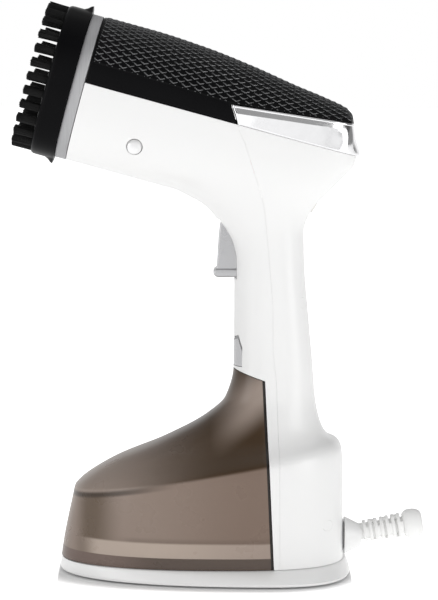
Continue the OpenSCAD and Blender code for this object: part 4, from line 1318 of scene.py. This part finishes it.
ROOM_LIGHT = 0.36
ROOM_SHINE = 0.32
WALL_SHINE = 0.95
BACKDROP = 1.0
FLOOR_LIGHT, FLOOR_SEEN = 0.58, 0.95
CAMERA_AT, CAMERA_AIM = (0.0, -1.4, 0.315), (0.0077, 0.0, 0.150)
CAMERA_ROLL = 0.0075
LENS_LENGTH = 153.8

# Contact shadow: fullness of its outline, narrowing at the ends, and where it has faded out
OUTLINE_FULL, END_NARROW, SHADE_END = 2.5, 14.0, 1.7


def aimed(place, target):
    """Rotation that looks from place to target."""
    return (Vector(target) - Vector(place)).to_track_quat("-Z", "Y")


def make_camera():
    """Long lens from the side, level with the top of the object, with a slight roll."""
    scene = bpy.context.scene
    camera = add_object("camera", bpy.data.cameras.new("camera"))
    camera.location = CAMERA_AT
    roll = Quaternion((0.0, 0.0, 1.0), CAMERA_ROLL)
    camera.rotation_euler = (aimed(CAMERA_AT, CAMERA_AIM) @ roll).to_euler()
    camera.data.sensor_width = 36.0
    camera.data.lens = LENS_LENGTH
    camera.data.clip_end = 50.0
    scene.camera = camera
    scene.view_settings.view_transform = "Standard"


def make_world():
    """White room: plain to the camera, and in reflections brighter below and darker towards the rear."""
    world = bpy.data.worlds.new("studio")
    room = Nodes(world)
    background = room.nodes["Background"]
    room.give(background.inputs["Color"], (1.0, 1.0, 1.0))
    ray = room.node("ShaderNodeLightPath").outputs
    x, _, z = room.parts(room.node("ShaderNodeTexCoord").outputs["Generated"])
    walls = room.span(z, 0.3, 0.42, WALL_SHINE, ROOM_SHINE, "LINEAR")
    shine = room.times(walls, room.span(x, 0.5, 0.75, 1.0, 0.25, "LINEAR"))
    strength = room.fade(ray["Is Glossy Ray"], ROOM_LIGHT, shine)
    room.give(background.inputs["Strength"], room.fade(ray["Is Camera Ray"], strength, BACKDROP))
    bpy.context.scene.world = world


def make_floor():
    """Floor that glows all but where the base's outline shades it."""
    far = 6000
    corners = [(-far, -far, 0), (far, -far, 0), (far, far, 0), (-far, far, 0)]
    floor = mesh_object("floor", corners, [[0, 1, 2, 3]])
    paint = Paint("pale_floor", (0.93, 0.93, 0.93), 0.8, Specular_IOR_Level=0.1)
    paint.set("Emission Color", (1.0, 1.0, 1.0))
    x, y, _ = paint.parts(paint.place)
    middle = paint.maths("SUBTRACT", x, BASE_WIDE_X * MM)
    ahead, behind = [
        paint.maths("MAXIMUM", paint.maths("DIVIDE", middle, reach * MM), 0.0)
        for reach in (-BASE_REACH[0], BASE_REACH[1])
    ]
    along = paint.maths("ADD", ahead, behind)
    beyond = paint.maths("MAXIMUM", paint.maths("SUBTRACT", along, 1.0), 0.0)
    along = paint.maths("ADD", along, paint.times(beyond, END_NARROW))
    across = paint.maths("DIVIDE", paint.maths("ABSOLUTE", y), BASE_HALF * MM)
    along, across = [paint.maths("POWER", share, OUTLINE_FULL) for share in (along, across)]
    contact = paint.span(paint.maths("ADD", along, across), 1.0, SHADE_END)
    seen = paint.node("ShaderNodeLightPath").outputs["Is Camera Ray"]
    glow = paint.times(contact, paint.span(seen, 0.0, 1.0, FLOOR_LIGHT, FLOOR_SEEN))
    paint.set("Emission Strength", glow)
    floor.data.materials.append(paint.material)


def softbox(name, place, target, size, power, mirrored=True):
    """Rectangular lamp in metres and watts; mirrored says whether it shows in reflections."""
    light = bpy.data.lights.new(name, "AREA")
    light.shape = "RECTANGLE"
    light.size, light.size_y = size
    light.energy = power
    obj = add_object(name, light)
    obj.visible_glossy = mirrored
    obj.location = place
    obj.rotation_euler = aimed(place, target).to_euler()


make_camera()
make_world()
make_floor()
softbox("overhead", (0.0, 0.1, 1.6), (0.0, 0.0, 0.1), (1.6, 1.6), 2.8)
softbox("left_front", (-1.3, -1.1, 0.6), (0.0, 0.0, 0.12), (0.8, 1.2), 5.2)
softbox("right_front", (1.4, -1.0, 0.5), (0.05, 0.0, 0.08), (0.7, 1.2), 7.2)
softbox("low_front", (0.1, -2.2, 0.2), (0.0, 0.0, 0.04), (1.6, 0.4), 3.7, mirrored=False)
make_cover()
make_trim()
make_band()
make_shells()
make_side_screws()
make_tank()
make_base()
make_trigger()
make_button()
make_brush_frame()
make_tufts()
make_cord_exit()

# ---------- CAD nodes that stay ----------

KEPT = {
    STEEL: [
        "boiler_screws", "sensor_screws", "trigger_pin", "trigger_spring", "release_spring",
        "clamp_screws", "base_screws", "body_screws", "filler_pin", "swivel_ring", "fuse_clip",
    ],
    plain_metal("polished_plate", (0.72, 0.72, 0.74), 0.22): ["steam_plate"],
    plain_metal("cast_aluminium", (0.5, 0.5, 0.52), 0.48): ["boiler"],
    plain_metal("heater_sheath", (0.35, 0.32, 0.3), 0.4): ["heating_element"],
    rubber("silicone_seal", (0.5, 0.12, 0.06)): ["plate_seal"],
    rubber("red_wire", (0.45, 0.03, 0.02), 0.45): ["boiler_lead"],
    rubber("hose", (0.62, 0.62, 0.56), 0.4): ["suction_hose", "feed_hose"],
    rubber("pad_rubber", (0.03, 0.03, 0.03)): ["base_pad"],
    DARK_SEAL: ["valve_seal"],
    rubber("cap_rubber", (0.05, 0.03, 0.022), 0.45): ["filler_cap"],
    moulded_plastic("ceramic", (0.7, 0.66, 0.56), (0.66, 0.62, 0.52), (0.5, 0.6)): ["terminal_block"],
    moulded_plastic("phenolic", (0.03, 0.026, 0.024), (0.04, 0.035, 0.03), (0.45, 0.55)): [
        "thermostat", "trigger_switch",
    ],
    moulded_plastic("fuse_tube", (0.65, 0.6, 0.42), (0.6, 0.55, 0.38), (0.3, 0.4)): ["thermal_fuse"],
    moulded_plastic("red_plastic", (0.5, 0.03, 0.02), (0.45, 0.025, 0.02), (0.3, 0.4)): ["switch_plunger"],
    moulded_plastic("circuit_board", (0.02, 0.12, 0.05), (0.025, 0.15, 0.06), (0.35, 0.5)): ["control_board"],
    moulded_plastic("clear_lens", (0.84, 0.83, 0.79), (0.8, 0.79, 0.75), (0.12, 0.18)): ["pilot_lens"],
    moulded_plastic("pump_body", (0.05, 0.05, 0.055), (0.065, 0.065, 0.07), (0.45, 0.55)): ["water_pump"],
    moulded_plastic("grey_plastic", (0.22, 0.22, 0.23), (0.25, 0.25, 0.26), (0.4, 0.5)): [
        "inlet_socket", "tank_valve", "cord_clamp", "swivel_socket",
    ],
    moulded_plastic("base_grey", (0.68, 0.68, 0.67), (0.71, 0.71, 0.7), (0.45, 0.55)): ["base_plate"],
    moulded_plastic("tank_insert", (0.42, 0.32, 0.25), (0.38, 0.28, 0.22), (0.2, 0.3)): ["tank_floor"],
}
for paint, names in KEPT.items():
    for node_name in names:
        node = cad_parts[node_name]
        node.data.materials.clear()
        node.data.materials.append(paint)
